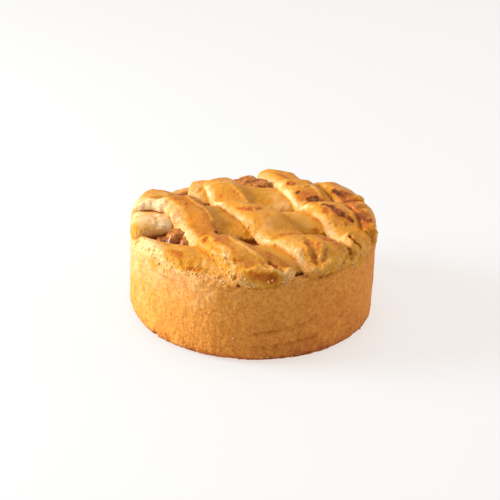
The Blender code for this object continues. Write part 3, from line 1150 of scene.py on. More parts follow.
    def masks(self, points: np.ndarray, owner: np.ndarray, seam: np.ndarray,
              spots: Sequence[Spot], beds: Sequence[np.ndarray]) -> dict[str, np.ndarray]:
        """Return the masks brown, sheen and crumb, and the ridges in millimetres."""
        foot = 1.0 - smooth_step(1.0 * MM, 9.0 * MM, points[:, 2])
        rim = smooth_step(RIM_HEIGHT - RIM_DEPTH, RIM_HEIGHT, points[:, 2])
        stray = layered(points, 3.0 * MM, layers=4, seed=41)
        masks = {"brown": self.case_browning_and_shade.at(points, foot),
                 "sheen": np.full(len(points), self.case_sheen),
                 "crumb": self.case_crumb + self.rim_crumb * rim + self.foot_crumb * foot,
                 "ridge": -self.seam_depth * seam}
        for number, (strip, spot, bed) in enumerate(zip(self.strips, spots, beds), start=1):
            own = owner == number
            there = Spot(spot.across[own], spot.half[own], spot.puff[own])
            for name, values in strip.masks(points[own], there, bed[own], stray[own]).items():
                masks[name][own] = values
        # Painted shade: the seams where strips meet each other and the case are darkened.
        masks["brown"] += self.seam_shade * seam
        masks["sheen"] *= 1.0 - seam
        return masks

    def add_marks(self, masks: dict[str, np.ndarray], points: np.ndarray, owner: np.ndarray,
                  tree: BVHTree) -> None:
        """Add all marks to the masks, each strip's own ones on that strip alone."""
        everywhere = np.arange(len(points))
        sets = [(everywhere, self.marks)]
        for number, strip in enumerate(self.strips, start=1):
            sets.append((np.nonzero(owner == number)[0], strip.marks))
        for own, marks in sets:
            for mark in marks:
                path = self.view.seen(tree, mark.path)
                masks[mark.kind.value][own] += mark.strength(points[own], path)

    def build(self, case_finish: bpy.types.Material, lid_finish: bpy.types.Material) -> Surface:
        """Make the case and the strips, which replace their nodes, and return their skin."""
        points, faces = self.shape()
        tree = BVHTree.FromPolygons(points.tolist(), faces.tolist())
        owner, seam, spots, beds = self.owners(points)
        masks = self.masks(points, owner, seam, spots, beds)
        self.add_marks(masks, points, owner, tree)
        normals = point_normals(points, faces)
        height = self.fine_relief.height(points, owner == 0, masks)
        points = points + normals * height[:, None]
        points[:, 2] = np.maximum(points[:, 2], 0.0)
        normals = point_normals(points, faces)
        del masks["ridge"]
        names = ["crust_case", *("strip_" + strip.name for strip in self.strips)]
        for number, node in enumerate(names):
            chosen = faces[owner[faces[:, 0]] == number]
            used, corners = np.unique(chosen, return_inverse=True)
            piece = make_piece("baked_" + node, points[used], corners.reshape(-1, 4),
                               normals[used], {name: mask[used] for name, mask in masks.items()},
                               case_finish if number == 0 else lid_finish)
            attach(piece, "root")
            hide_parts(node)
        return Surface(points, normals, masks["crumb"], tree)


# ---------------------------------------------------------------- crumbs


@dataclass
class Crumbs:
    """Crumbs that cling to the pastry where it is rough, most of them near the rim. The largest
    lie where the photograph shows them. A crumb's middle stands out of the skin by the share
    that is named sunk of its size. Behind, foot share and top share say how likely a crumb is
    on the far side, at the foot and on top of the lid, against one on the rim in front. The top
    band is in heights over the rim, and the foot band in heights over the floor.
    """

    largest_places: PhotoPath
    count: int = 560
    smallest: float = 0.16 * MM
    large: float = 0.42 * MM
    largest: float = 0.525 * MM
    sunk: float = 0.15
    palest: float = 0.02
    brownest: float = 0.34
    rough_from: float = 0.45
    behind: float = 0.35
    foot_share: float = 0.5
    top_share: float = 0.1
    top_band: tuple[float, float] = (2.5 * MM, 5.0 * MM)
    foot_band: tuple[float, float] = (0.8 * MM, 3.0 * MM)
    lowest: float = 0.3 * MM
    seed: int = 17
    view: PhotoView = PhotoView()

    def _shape(self) -> tuple[np.ndarray, np.ndarray]:
        """Return a crumb's plain form, a ball of 18 corners and 32 triangles."""
        corners = [(1, 0, 0), (-1, 0, 0), (0, 1, 0), (0, -1, 0), (0, 0, 1), (0, 0, -1)]
        faces = []
        for a, b, c in ((0, 2, 4), (2, 1, 4), (1, 3, 4), (3, 0, 4),
                        (2, 0, 5), (1, 2, 5), (3, 1, 5), (0, 3, 5)):
            halves = []
            for first, second in ((a, b), (b, c), (c, a)):
                middle = tuple(p + q for p, q in zip(corners[first], corners[second]))
                if middle not in corners:
                    corners.append(middle)
                halves.append(corners.index(middle))
            faces += [(a, halves[0], halves[2]), (halves[0], b, halves[1]),
                      (halves[2], halves[1], c), tuple(halves)]
        points = np.array(corners, dtype=float)
        return points / np.linalg.norm(points, axis=1, keepdims=True), np.array(faces)

    def _places(self, surface: Surface, chance: np.random.Generator) -> np.ndarray:
        """Return the numbers of the skin's points that bear a crumb."""
        height = surface.points[:, 2]
        front = np.where(surface.points[:, 1] < 0.0, 1.0, self.behind)
        rim = smooth_step(RIM_HEIGHT - RIM_DEPTH, RIM_HEIGHT, height)
        rim *= 1.0 - (1.0 - self.top_share) * smooth_step(*self.top_band, height - RIM_HEIGHT)
        foot = self.foot_share * (1.0 - smooth_step(*self.foot_band, height))
        likely = np.clip(surface.crumb - self.rough_from, 0.0, 1.0) ** 1.5 * front
        likely *= rim + foot * (height > self.lowest)
        scattered = chance.choice(len(height), self.count, False, likely / likely.sum())
        chosen = [np.argmin(((surface.points - place) ** 2).sum(axis=1))
                  for place in self.view.seen(surface.tree, self.largest_places)]
        return np.concatenate([scattered, chosen])

    def build(self, surface: Surface, material: bpy.types.Material) -> bpy.types.Object:
        """Return the crumbs as one piece."""
        chance = np.random.default_rng(self.seed)
        ball, faces = self._shape()
        chosen = self._places(surface, chance)
        total = len(chosen)
        size = self.smallest + (self.large - self.smallest) * chance.random(total) ** 2.0
        size[self.count:] = self.largest
        turn = np.linalg.qr(chance.normal(size=(total, 3, 3)))[0]
        stretch = chance.uniform(0.6, 1.25, (total, 1, 3))
        lumpy = chance.uniform(0.75, 1.2, (total, len(ball), 1))
        shapes = (ball * stretch * lumpy) @ turn * size[:, None, None]
        middles = surface.points[chosen] + surface.normals[chosen] * (self.sunk * size)[:, None]
        points = shapes + middles[:, None, :]
        points[..., 2] = np.maximum(points[..., 2], 0.05 * MM)
        corners = faces[None] + (np.arange(total) * len(ball))[:, None, None]
        tones = np.repeat(chance.uniform(self.palest, self.brownest, total), len(ball))
        masks = {"brown": tones, "sheen": np.zeros_like(tones), "crumb": np.full_like(tones, 0.5)}
        piece = make_piece("pastry_crumbs", points.reshape(-1, 3), corners.reshape(-1, 3), None,
                           masks, material)
        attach(piece, "root")
        return piece


# ---------------------------------------------------------------- the filling


@dataclass(frozen=True)
class Chunk:
    """A piece of apple that stands out of the filling; sizes in millimetres."""

    x: float
    y: float
    size: float
    turn: float
    show: float

    def lift(self, x: np.ndarray, y: np.ndarray) -> np.ndarray:
        """Return how far the chunk raises the filling at some places in plan, in metres."""
        angle = math.radians(self.turn)
        dx, dy = x - self.x * MM, y - self.y * MM
        along = (dx * math.cos(angle) + dy * math.sin(angle)) / (0.5 * self.size * MM)
        across = (dy * math.cos(angle) - dx * math.sin(angle)) / (0.39 * self.size * MM)
        away = (np.abs(along) ** 3.0 + np.abs(across) ** 3.0) ** (1.0 / 3.0)
        return self.show * MM * (1.0 - smooth_step(0.55, 1.10, away)) * (1.0 + 0.12 * along)


@dataclass
class AppleFilling:
    """The filling: apple chunks in syrup, up to the lid.

    Its top is made of rings of points, and cobbles of apple swell it between the large chunks.
    Collar is the height of its side's middle, as a share of its level. It is darkest at its
    level, and palest where it stands higher than that by the length that is named shallow.
    """

    gap: float = 0.3 * MM
    lid_gap: float = 0.4 * MM
    rings: int = 120
    columns: int = 420
    collar: float = 0.6
    cobble_size: float = 7.0 * MM
    cobble_height: float = 0.9 * MM
    shallow: float = 3.0 * MM
    chunks: tuple[Chunk, ...] = (
        Chunk(-30.0, -14.0, 11.0, 25.0, 4.4), Chunk(-25.6, -18.6, 9.0, 70.0, 3.6),
        Chunk(-36.0, -15.0, 6.0, 10.0, 1.6), Chunk(-8.0, 36.0, 13.0, 8.0, 5.0),
        Chunk(0.5, 36.5, 15.0, -10.0, 5.4), Chunk(-3.5, 38.5, 12.0, 30.0, 5.9),
    )

    def build(self, material: bpy.types.Material) -> bpy.types.Object:
        """Return the filling as a piece that replaces its node."""
        angle = np.linspace(0.0, 2.0 * math.pi, self.columns, endpoint=False)
        shares = np.concatenate([np.linspace(0.004, 1.0, self.rings), [1.0, 1.0, 0.5, 0.004]])
        radius = ((PIE_RADIUS - WALL - self.gap) * shares)[:, None]
        x, y = radius * np.cos(angle), radius * np.sin(angle)
        lift = np.max([chunk.lift(x, y) for chunk in self.chunks], axis=0)
        flat = np.stack([x, y, np.full_like(x, FILLING_LEVEL)], axis=-1)
        near, own = grains(flat, self.cobble_size, seed=61)
        cobbles = (0.75 - near) * self.cobble_height * own
        wrinkles = layered(flat, 2.4 * MM, layers=4, seed=71) * 0.32
        wrinkles += layered(flat, 0.9 * MM, layers=2, seed=73) * 0.10
        z = FILLING_LEVEL + np.maximum(lift, cobbles) + wrinkles * MM
        z = np.minimum(z, np.interp(radius, PRESS_RADII, PRESS_HEIGHTS) - self.lid_gap)
        z[self.rings] = self.collar * FILLING_LEVEL
        z[self.rings + 1:] = BASE + self.gap
        grid = np.stack([x, y, z], axis=-1)
        deep = 1.0 - smooth_step(FILLING_LEVEL, FILLING_LEVEL + self.shallow, z)
        masks = {"brown": 0.38 + 0.34 * deep}
        faces = ring_faces(*grid.shape[:2]).tolist()
        faces.append(list(range(self.columns))[::-1])
        count = grid.shape[0] * grid.shape[1]
        faces.append(list(range(count - self.columns, count)))
        piece = make_piece("apple_filling_cooked", grid.reshape(-1, 3), faces, None, masks,
                           material)
        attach(piece, "root")
        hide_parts("filling")
        return piece


# ---------------------------------------------------------------- studio


@dataclass(frozen=True)
class SoftLight:
    """A square soft light that faces the pie; its side is in metres and its power in watts."""

    name: str
    place: tuple[float, float, float]
    side: float
    power: float
    tint: tuple[float, float, float]
    aim_height: float = 20.0 * MM

    def hang(self) -> None:
        """Add the light to the scene."""
        lamp = bpy.data.lights.new(self.name, "AREA")
        lamp.energy, lamp.size, lamp.color = self.power, self.side, self.tint
        holder = bpy.data.objects.new(self.name, lamp)
        holder.location = self.place
        aim = Vector((0.0, 0.0, self.aim_height)) - Vector(self.place)
        holder.rotation_euler = aim.to_track_quat("-Z", "Y").to_euler()
        bpy.context.scene.collection.objects.link(holder)


@dataclass(frozen=True)
class Studio:
    """The pale floor, the soft lights and the camera."""

    view: PhotoView = PhotoView()
    floor_reach: float = 2.5
    sky: float = 0.50
    lights: tuple[SoftLight, ...] = (
        SoftLight("key_light", (-0.72, 0.00, 0.31), 0.40, 11.6, (1.0, 0.985, 0.96)),
        SoftLight("fill_light", (0.75, 0.18, 0.25), 0.60, 2.7, (1.0, 0.99, 0.98)),
        SoftLight("top_light", (-0.06, 0.10, 0.72), 0.55, 1.5, (1.0, 0.99, 0.97)),
    )

    def build(self) -> None:
        """Make the floor, the lights and the camera."""
        self._floor()
        for light in self.lights:
            light.hang()
        self._sky()
        self._camera()
        bpy.context.scene.view_settings.view_transform = "Standard"

    def _floor(self) -> None:
        """Lay the floor under the pie."""
        reach = self.floor_reach
        mesh = bpy.data.meshes.new("floor")
        mesh.from_pydata([(-reach, -reach, 0.0), (reach, -reach, 0.0), (reach, reach, 0.0),
                          (-reach, reach, 0.0)], [], [(0, 1, 2, 3)])
        mesh.materials.append(FloorFinish().material())
        floor = bpy.data.objects.new("floor", mesh)
        bpy.context.scene.collection.objects.link(floor)
        floor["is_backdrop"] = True

    def _sky(self) -> None:
        """Give the room an even white glow."""
        world = bpy.data.worlds.new("studio")
        world.use_nodes = True
        glow = world.node_tree.nodes["Background"]
        glow.inputs["Color"].default_value = (1.0, 1.0, 1.0, 1.0)
        glow.inputs["Strength"].default_value = self.sky
        bpy.context.scene.world = world

    def _camera(self) -> None:
        """Set the camera at the photograph's angle."""
        lens = bpy.data.cameras.new("camera")
        lens.sensor_width, lens.lens = self.view.sensor, self.view.lens
        lens.shift_x, lens.shift_y = self.view.shift
        lens.clip_start = 0.01
        camera = bpy.data.objects.new("camera", lens)
        camera.matrix_world = self.view.stand()
        bpy.context.scene.collection.objects.link(camera)
        bpy.context.scene.camera = camera


# ---------------------------------------------------------------- the pie


BROWN, RIDGE = partial(Mark, MarkKind.BROWN), partial(Mark, MarkKind.RIDGE)
SHEEN, CRUMB = partial(Mark, MarkKind.SHEEN), partial(Mark, MarkKind.CRUMB)


def crumb_places() -> PhotoPath:
    """Return where the largest crumbs lie in the photograph."""
    return ((222, 269), (221, 282), (224, 283), (247, 287), (249, 286), (270, 290), (268, 281),
            (272, 280), (283, 282), (287, 284), (293, 356), (343, 266), (357, 253), (352, 251),
            (262, 357), (268, 357), (256, 357), (233, 338))


def case_marks() -> tuple[Mark, ...]:
    """Return the marks on the case: its pores, faint cracks and the crumbly rim in front."""
    crack = ((255, 334), (264, 333), (273, 332), (285, 329), (297, 326), (300, 322), (306, 320),
             (312, 319), (316, 315))
    lower_crack = ((254, 348), (270, 347), (285, 344), (300, 341), (316, 336))
    fold = ((300, 321.5), (304, 319.5), (308, 319))
    crumbly = ((188, 274), (205, 282), (222, 287), (240, 290))
    lobe = ((347, 256), (343, 263), (335, 270), (327, 275), (319, 277))
    return (
        BROWN(((172, 282),), 0.8, 0.30),
        BROWN(((154, 303),), 0.7, 0.25),
        BROWN(((166, 334),), 0.9, 0.28),
        BROWN(((206, 313),), 0.7, 0.25),
        BROWN(((136, 244),), 1.3, 0.32),
        BROWN(((130.5, 231),), 1.0, 0.25),
        RIDGE(crack, 1.1, -0.52, 0.8),
        BROWN(crack, 0.9, 0.08, 0.8),
        RIDGE(lower_crack, 1.1, -0.36, 0.8),
        BROWN(lower_crack, 0.9, 0.05, 0.8),
        # Painted shade low on the right of the wall.
        BROWN(((284, 345), (300, 343), (316, 337)), 6.0, 0.05),
        BROWN(((232, 299), (250, 302), (268, 302)), 7.0, 0.035),
        BROWN(((312, 290), (330, 286)), 7.0, 0.035),
        BROWN(((142, 316), (152, 326), (165, 338)), 8.0, 0.05),
        RIDGE(fold, 1.0, 0.45, 0.5),
        BROWN(fold, 1.0, -0.16, 0.5),
        RIDGE(((297, 328), (299, 333)), 0.8, -0.45, 0.6),
        BROWN(((280, 338), (296, 333), (312, 328)), 3.0, -0.05),
        RIDGE(((290, 353), (299, 350)), 1.0, -0.25, 0.9),
        CRUMB(crumbly, 5.0, 0.35),
        BROWN(crumbly, 4.5, 0.03),
        RIDGE(((244, 287), (255, 289), (268, 288), (280, 284)), 1.0, -0.50, 0.5),
        # Painted shadow under the left over strip's overhanging end, beside the groove.
        BROWN(((244, 287), (255, 289), (268, 288), (280, 284)), 1.0, 0.13),
        RIDGE(((247, 283), (258, 285), (270, 284)), 2.6, 0.40, 0.3, 0.0),
        RIDGE(lobe, 1.0, -0.55, 0.5),
        # Painted shadow under the centre over strip's overhanging end lobe, beside the groove.
        BROWN(lobe, 1.0, 0.14),
        RIDGE(((341, 257), (334, 264), (326, 269)), 3.0, 0.55, 0.3, 0.0),
        RIDGE(((289, 272), (291, 271)), 2.0, 1.1, 0.2, 0.0),
        RIDGE(((268, 262), (276, 267), (283, 271)), 0.9, -0.8),
        BROWN(((268, 262), (276, 267), (283, 271)), 0.9, 0.22),
        BROWN(((186, 270.5), (190, 269.5), (197, 269.5), (204, 268)), 0.9, 0.20, 0.8),
        BROWN(((238, 286),), 1.1, 0.42, 0.7),
        RIDGE(((238, 286),), 1.1, -0.50),
    )


def front_marks() -> tuple[Mark, ...]:
    """Return the marks on the front under strip."""
    patch = ((171, 251.5), (179, 253.5))
    fold = ((150, 251), (158, 259), (166, 267))
    edge = ((203, 259), (202, 265), (195, 269), (187, 271), (183, 274))
    return (
        BROWN(((139, 244), (149, 248), (158, 254), (167, 262)), 5.5, -0.30, 0.25, 0.1),
        # Painted shade: the left over strip's shadow on this strip's right part.
        BROWN(((197, 254), (196, 261), (190, 267)), 2.8, 0.13),
        BROWN(patch, 4.3, 0.27, 0.5, 0.1),
        RIDGE(edge, 0.9, -0.12, 0.4),
        BROWN(edge, 0.9, 0.03),
        SHEEN(patch, 3.8, 0.60),
        SHEEN(((180, 250),), 1.0, 0.60),
        RIDGE(fold, 1.1, -0.30, 0.8),
        RIDGE(((175, 264),), 1.2, -0.35, 0.8),
        BROWN(((175, 264),), 1.1, 0.18, 0.8),
        RIDGE(((183, 262), (182, 267), (184, 271)), 1.1, -0.12, 0.8),
        BROWN(((183, 262), (182, 267), (184, 271)), 0.9, 0.05, 0.8),
        BROWN(((245, 241), (262, 241), (276, 244)), 1.2, -0.08),
        BROWN(((273, 257),), 1.0, 0.10),
        BROWN(((292, 252), (297, 258), (301, 262)), 1.2, -0.30, 0.9),
        RIDGE(((292, 252), (297, 258), (301, 262)), 1.1, 0.30, 0.9),
        BROWN(((296, 268), (302, 268)), 2.4, 0.30, 0.8),
    )


def middle_marks() -> tuple[Mark, ...]:
    """Return the marks on the middle under strip."""
    return (
        BROWN(((133, 217), (145, 216), (158, 217), (168, 221)), 7.0, -0.28),
        SHEEN(((133, 217), (145, 216), (158, 217)), 7.0, -0.40),
        # Painted light: lightens the shaded front of this strip's left end.
        BROWN(((138, 235), (150, 235), (160, 230)), 2.8, -0.06),
        RIDGE(((157, 218), (158, 223), (157, 227)), 1.2, -0.32, 0.8),
        BROWN(((131, 228),), 1.0, 0.18),
        BROWN(((210, 204), (216, 206), (224, 211)), 2.4, 0.10),
        # Painted shade: a shadow line by the centre over strip's edge, and the left over strip's
        # shadow on this strip.
        BROWN(((238, 219), (243, 226), (248, 234)), 1.2, 0.12, 0.9),
        BROWN(((230, 226), (238, 230), (246, 236)), 4.0, 0.15, 0.6),
        # Painted shade along this strip's shaded lower edge.
        BROWN(((316, 231), (324, 234)), 2.6, 0.12, 0.7),
        BROWN(((312, 219), (318, 218), (323, 224)), 1.8, 0.12, 0.9),
        # Painted shade along this strip's shaded lower edge.
        BROWN(((304, 231), (315, 233), (327, 235)), 2.2, 0.14, 0.8),
    )


def back_marks() -> tuple[Mark, ...]:
    """Return the marks on the back under strip."""
    return (
        BROWN(((196, 190), (201, 188), (205, 184)), 5.5, -0.13),
        CRUMB(((196, 190), (201, 188), (205, 184)), 5.5, 0.50),
        RIDGE(((203, 187), (200, 192)), 1.0, -0.40, 0.8),
        BROWN(((203, 187), (200, 192)), 0.9, 0.18, 0.8),
        BROWN(((238, 184), (250, 185), (262, 189)), 1.2, -0.08),
        # Painted shade: this part lies in the shade of the over strips.
        BROWN(((257, 197), (266, 199)), 4.0, 0.11),
        BROWN(((276, 196), (284, 202)), 4.5, -0.08),
        # Painted shade: this part lies in the shade of the over strips.
        BROWN(((258, 201), (266, 208)), 4.0, 0.04),
    )


def left_marks() -> tuple[Mark, ...]:
    """Return the marks on the left over strip."""
    start = ((136, 204), (146, 202), (156, 201), (163, 204))
    cut_edge = ((187, 196), (196, 203), (204, 208), (210, 215), (213, 221))
    lobe_edge = ((222, 233), (232, 239), (242, 244), (252, 251), (263, 259), (274, 268), (283, 273))
    flank = ((170, 214), (183, 226), (195, 240), (203, 253), (209, 263))
    crumbly = ((191, 271), (205, 275), (220, 278), (234, 281), (246, 283))
    patch = ((253, 276), (257, 275.5), (261, 275.5), (265, 276), (269, 277), (273, 279))
    return (
        BROWN(start, 6.0, -0.16),
        RIDGE(((143, 209.5), (150, 210), (158, 211)), 3.6, 1.1, 0.2, 0.0),
        RIDGE(((151, 200), (151.3, 204), (151.6, 208)), 2.6, 0.7, 0.1, 0.0),
        BROWN(((138, 206), (147, 206.5), (156, 207)), 3.6, -0.16),
        SHEEN(start, 6.5, -0.45),
        BROWN(((140, 198), (150, 194.5), (160, 194)), 4.2, -0.30),
        SHEEN(((140, 198), (150, 194.5), (160, 194)), 4.5, -0.60),
        BROWN(((134.5, 204.7), (140, 198.5), (148, 193), (153, 191.5)), 0.8, 0.24, 0.8),
        BROWN(((181, 195), (187, 196)), 1.3, 0.16, 0.8),
        RIDGE(((163, 204),), 1.5, 0.50, 0.2),
        BROWN(((163, 204),), 1.0, -0.10, 0.2),
        RIDGE(((166.5, 202),), 1.1, -0.35, 0.4),
        BROWN(((166.5, 201), (167, 204)), 1.1, 0.18, 0.4),
        BROWN(((186, 203.5),), 0.9, 0.20),
        BROWN(((177, 204),), 0.8, 0.12),
        BROWN(((141, 207),), 0.8, 0.16),
        BROWN(((168, 199), (177, 199), (187, 201)), 0.9, 0.07, 0.9),
        BROWN(((200, 235), (208, 243), (214, 248)), 3.4, 0.05),
        BROWN(((199, 243), (207, 252), (216, 262), (225, 270)), 4.0, 0.20),
        BROWN(((205, 236), (211, 240), (217, 243)), 3.2, 0.16, 0.6),
        SHEEN(((199, 243), (207, 252), (216, 262), (225, 270)), 4.0, 0.45),
        BROWN(((213, 247), (219, 251)), 1.5, 0.18, 0.9),
        BROWN(((213, 255), (220, 257)), 1.3, 0.18, 0.9),
        BROWN(((222, 258), (227, 263)), 1.4, 0.20, 0.9),
        BROWN(((225, 251), (236, 257)), 1.9, 0.15, 0.9),
        BROWN(((230, 258), (236, 262)), 1.4, 0.17, 0.9),
        RIDGE(((212, 252), (217, 256)), 0.9, 0.42, 0.9),
        BROWN(((212, 252), (217, 256)), 0.8, -0.20, 0.9),
        RIDGE(((223, 256), (226, 261)), 0.9, 0.42, 0.9),
        BROWN(((223, 256), (226, 261)), 0.8, -0.20, 0.9),
        RIDGE(((208, 238), (213, 243)), 1.0, -0.28, 0.9),
        RIDGE(((229, 262), (234, 262)), 0.9, 0.35, 0.9),
        RIDGE(((217, 232.5),), 1.0, -0.90, 0.4),
        BROWN(((216, 231.5), (218.5, 234)), 0.9, 0.62, 0.4),
        BROWN(cut_edge, 0.9, -0.26, 0.3),
        RIDGE(cut_edge, 0.9, 0.34, 0.3),
        BROWN(lobe_edge, 1.4, -0.24, 0.3),
        RIDGE(lobe_edge, 1.1, 0.35, 0.3),
        BROWN(((235, 244), (247, 254), (258, 262)), 3.2, -0.10),
        BROWN(flank, 3.2, -0.08),
        CRUMB(flank, 3.0, 0.25),
        CRUMB(crumbly, 5.0, 0.60),
        BROWN(crumbly, 4.5, -0.11),
        BROWN(((197, 250), (200, 255), (205, 260)), 2.6, -0.12, 0.6),
        BROWN(((240, 268), (246, 269)), 2.2, 0.12, 0.8),
        BROWN(((247, 276), (251, 271)), 1.0, 0.14, 0.8),
        BROWN(patch, 3.6, 0.36, 0.35, 0.10),
        SHEEN(patch, 3.4, 0.80, 0.3, 0.1),
        CRUMB(patch, 3.8, -0.80, 0.3, 0.0),
        RIDGE(patch, 3.6, 0.25, 0.3, 0.1),
        BROWN(((249, 270), (262, 267), (275, 271)), 1.2, -0.14, 0.6),
        RIDGE(((249, 270), (262, 267), (275, 271)), 1.3, 0.30, 0.6),
        RIDGE(((235, 279),), 1.2, -0.90),
        BROWN(((235, 279),), 1.2, 0.42),
        BROWN(((238, 285),), 1.1, 0.42),
        RIDGE(((289, 273), (293, 274)), 1.7, 0.80, 0.8),
        BROWN(((287, 276), (291, 273), (294, 278)), 2.4, -0.16),
    )


def centre_marks() -> tuple[Mark, ...]:
    """Return the marks on the centre over strip."""
    near_edge = ((207, 188), (209, 194), (213, 200), (218, 204), (228, 211))
    far_edge = ((231, 184), (239, 192), (247, 201), (255, 210))
    granular = ((238, 218), (246, 226), (256, 234), (266, 239))
    round_top = ((272, 239), (285, 234), (300, 234), (318, 236), (333, 242), (343, 249))
    flank = ((284, 244), (293, 251), (302, 259), (312, 269))
    valley = ((308, 240), (312, 248), (315, 255), (317, 262))
    left_ridge = ((303, 242), (309, 252), (314, 263))
    right_ridge = ((322, 244), (322, 253), (320, 262))
    groove = ((326, 250), (325, 256), (323, 261))
    return (
        BROWN(near_edge, 1.5, -0.20),
        BROWN(((208, 186), (218, 182), (229, 182)), 1.0, -0.16),
        BROWN(((221, 196),), 0.8, 0.14),
        BROWN(((216, 195),), 0.7, 0.12),
        BROWN(((234, 192),), 0.8, 0.16),
        BROWN(((238, 208), (246, 208), (254, 209)), 2.4, 0.24, 0.8),
        # Painted light: lightens this strip's shaded slope.
        BROWN(((268, 222), (278, 222), (286, 224)), 5.0, -0.18, 0.6),
        # Painted light: lightens the shaded right side of this strip's end lobe.
        BROWN(((329, 254), (337, 256)), 4.5, -0.10, 0.6),
        BROWN(((247, 224), (252, 229)), 3.2, 0.20, 0.8),
        BROWN(((296, 243), (302, 247)), 3.0, -0.10, 0.8),
        BROWN(far_edge, 0.8, -0.20, 0.3),
        RIDGE(far_edge, 0.9, 0.28, 0.3),
        SHEEN(((259, 213),), 1.2, 0.60),
        SHEEN(((263, 232),), 1.2, 0.60),
        BROWN(((278.5, 212.5),), 0.7, 0.34),
        BROWN(((261, 221), (270, 216)), 2.2, 0.06, 0.8),
        BROWN(((287, 228), (296, 230)), 2.2, 0.12, 0.8),
        # Painted shade along this strip's right edge, on its shaded side.
        BROWN(((286, 215), (292, 222), (299, 230)), 1.1, 0.12),
        BROWN(granular, 2.8, -0.12),
        CRUMB(granular, 2.8, 0.50),
        RIDGE(((239, 223), (247, 232)), 1.0, -0.28, 0.9),
        BROWN(round_top, 1.7, 0.12),
        BROWN(flank, 3.6, -0.08),
        CRUMB(flank, 3.8, 0.50),
        BROWN(((303, 250),), 0.7, 0.32),
        BROWN(((305, 255),), 0.7, 0.30),
        RIDGE(valley, 2.4, -0.70, 0.6),
        BROWN(valley, 2.2, 0.13, 0.7),
        RIDGE(left_ridge, 1.4, 0.35, 0.6),
        RIDGE(right_ridge, 1.5, 0.50, 0.6),
        BROWN(right_ridge, 1.2, -0.08),
        BROWN(((319, 243), (318, 247)), 1.1, 0.22, 0.7),
        RIDGE(groove, 1.2, -0.45, 0.6),
        BROWN(groove, 1.1, 0.18, 0.7),
        RIDGE(((317, 253),), 0.9, 0.35, 0.4),
        BROWN(((317, 253),), 0.8, -0.20, 0.4),
        BROWN(((336, 246), (341, 251)), 2.0, 0.09, 0.8),
        BROWN(((333, 258), (338, 257)), 2.2, 0.07, 0.8),
        BROWN(((312, 273), (318, 276), (326, 276)), 1.0, 0.14, 0.8),
    )


def right_marks() -> tuple[Mark, ...]:
    """Return the marks on the right over strip."""
    start = ((252, 180.1), (265, 177), (274, 184), (283, 193))
    crease = ((350, 236), (356, 242), (361, 247))
    crest = ((290, 213), (300, 209), (312, 206), (325, 203), (336, 203), (345, 207), (352, 215),
             (357, 224))
    flank = ((326, 221), (332, 228), (341, 238))
    far_edge = ((311, 185), (318, 191), (323, 199))
    return (
        BROWN(start, 5.0, -0.11),
        BROWN(((270, 172), (280, 175), (287, 178)), 1.2, 0.16, 0.8),
        BROWN(((265, 176),), 0.8, 0.12),
        BROWN(((287, 183), (291, 182.5), (294, 184)), 1.3, 0.27, 0.9),
        RIDGE(((296, 187), (303, 186), (308, 185)), 1.2, 0.38, 0.8),
        BROWN(((296, 187), (303, 186), (308, 185)), 1.1, -0.22, 0.8),
        BROWN(((297, 193), (298.5, 191.5)), 0.8, 0.50, 0.4),
        RIDGE(((297.5, 192),), 0.8, -0.40, 0.4),
        BROWN(((301, 195), (310, 194), (318, 198)), 4.0, 0.07),
        BROWN(((312, 210), (319, 212), (326, 213)), 3.0, 0.20, 0.7),
        BROWN(((286, 192), (291, 197), (296, 204)), 1.8, -0.24),
        BROWN(((301, 205), (304, 202)), 0.8, -0.28),
        BROWN(((311, 198.5), (316, 199), (321, 200.5)), 1.5, 0.26, 0.9),
        BROWN(far_edge, 0.8, -0.20, 0.3),
        RIDGE(far_edge, 0.9, 0.28, 0.3),
        BROWN(crest, 1.0, -0.14),
        BROWN(((301, 212), (312, 210), (320, 215)), 3.8, -0.07),
        BROWN(((328, 206), (338, 211), (348, 219)), 4.2, 0.07),
        BROWN(((325, 204.5), (331, 206)), 1.4, 0.24, 0.9),
        BROWN(((334, 208), (338, 212), (340, 215)), 2.5, 0.25, 0.9),
        BROWN(((344, 216),), 0.9, 0.28, 0.6),
        BROWN(((349, 218.5), (351, 220.5)), 1.3, 0.30, 0.8),
        BROWN(flank, 3.2, -0.10),
        CRUMB(flank, 3.4, 0.50),
        RIDGE(((331, 222), (334, 226)), 1.0, 0.32, 0.8),
        RIDGE(((344, 223), (350, 233)), 1.2, 0.32, 0.6),
        RIDGE(crease, 1.0, -0.70),
        BROWN(crease, 0.9, 0.42, 0.3),
        RIDGE(((349, 250), (352, 254)), 1.8, -0.80),
        BROWN(((349, 250), (352, 254)), 1.8, 0.28, 0.8),
    )


def edge_marks() -> tuple[Mark, ...]:
    """Return the marks on the over strip at the right edge, with its row of pale lumps."""
    lumps = ((352, 199), (356, 206), (360, 198), (363, 205), (367, 211), (361, 214), (368, 219),
             (371, 224), (374, 229), (375, 235), (366, 232))
    return (
        BROWN(((338, 193), (345, 196), (350, 200)), 3.4, 0.24, 0.9),
        BROWN(((319, 186), (327, 190), (335, 194)), 2.0, 0.24, 0.8),
        BROWN(((357, 215), (364, 219), (370, 222)), 1.7, 0.16, 0.8),
        BROWN(((354, 203), (362, 212), (369, 224), (373, 234)), 4.6, 0.12),
        SHEEN(((354, 203), (362, 212), (369, 224), (373, 234)), 4.6, 0.40),
        *(RIDGE((lump,), 2.6, 0.80, 0.15, 0.0) for lump in lumps),
        *(BROWN((lump,), 1.7, -0.14) for lump in lumps),
        *(SHEEN((lump,), 2.2, 0.40) for lump in lumps),
    )


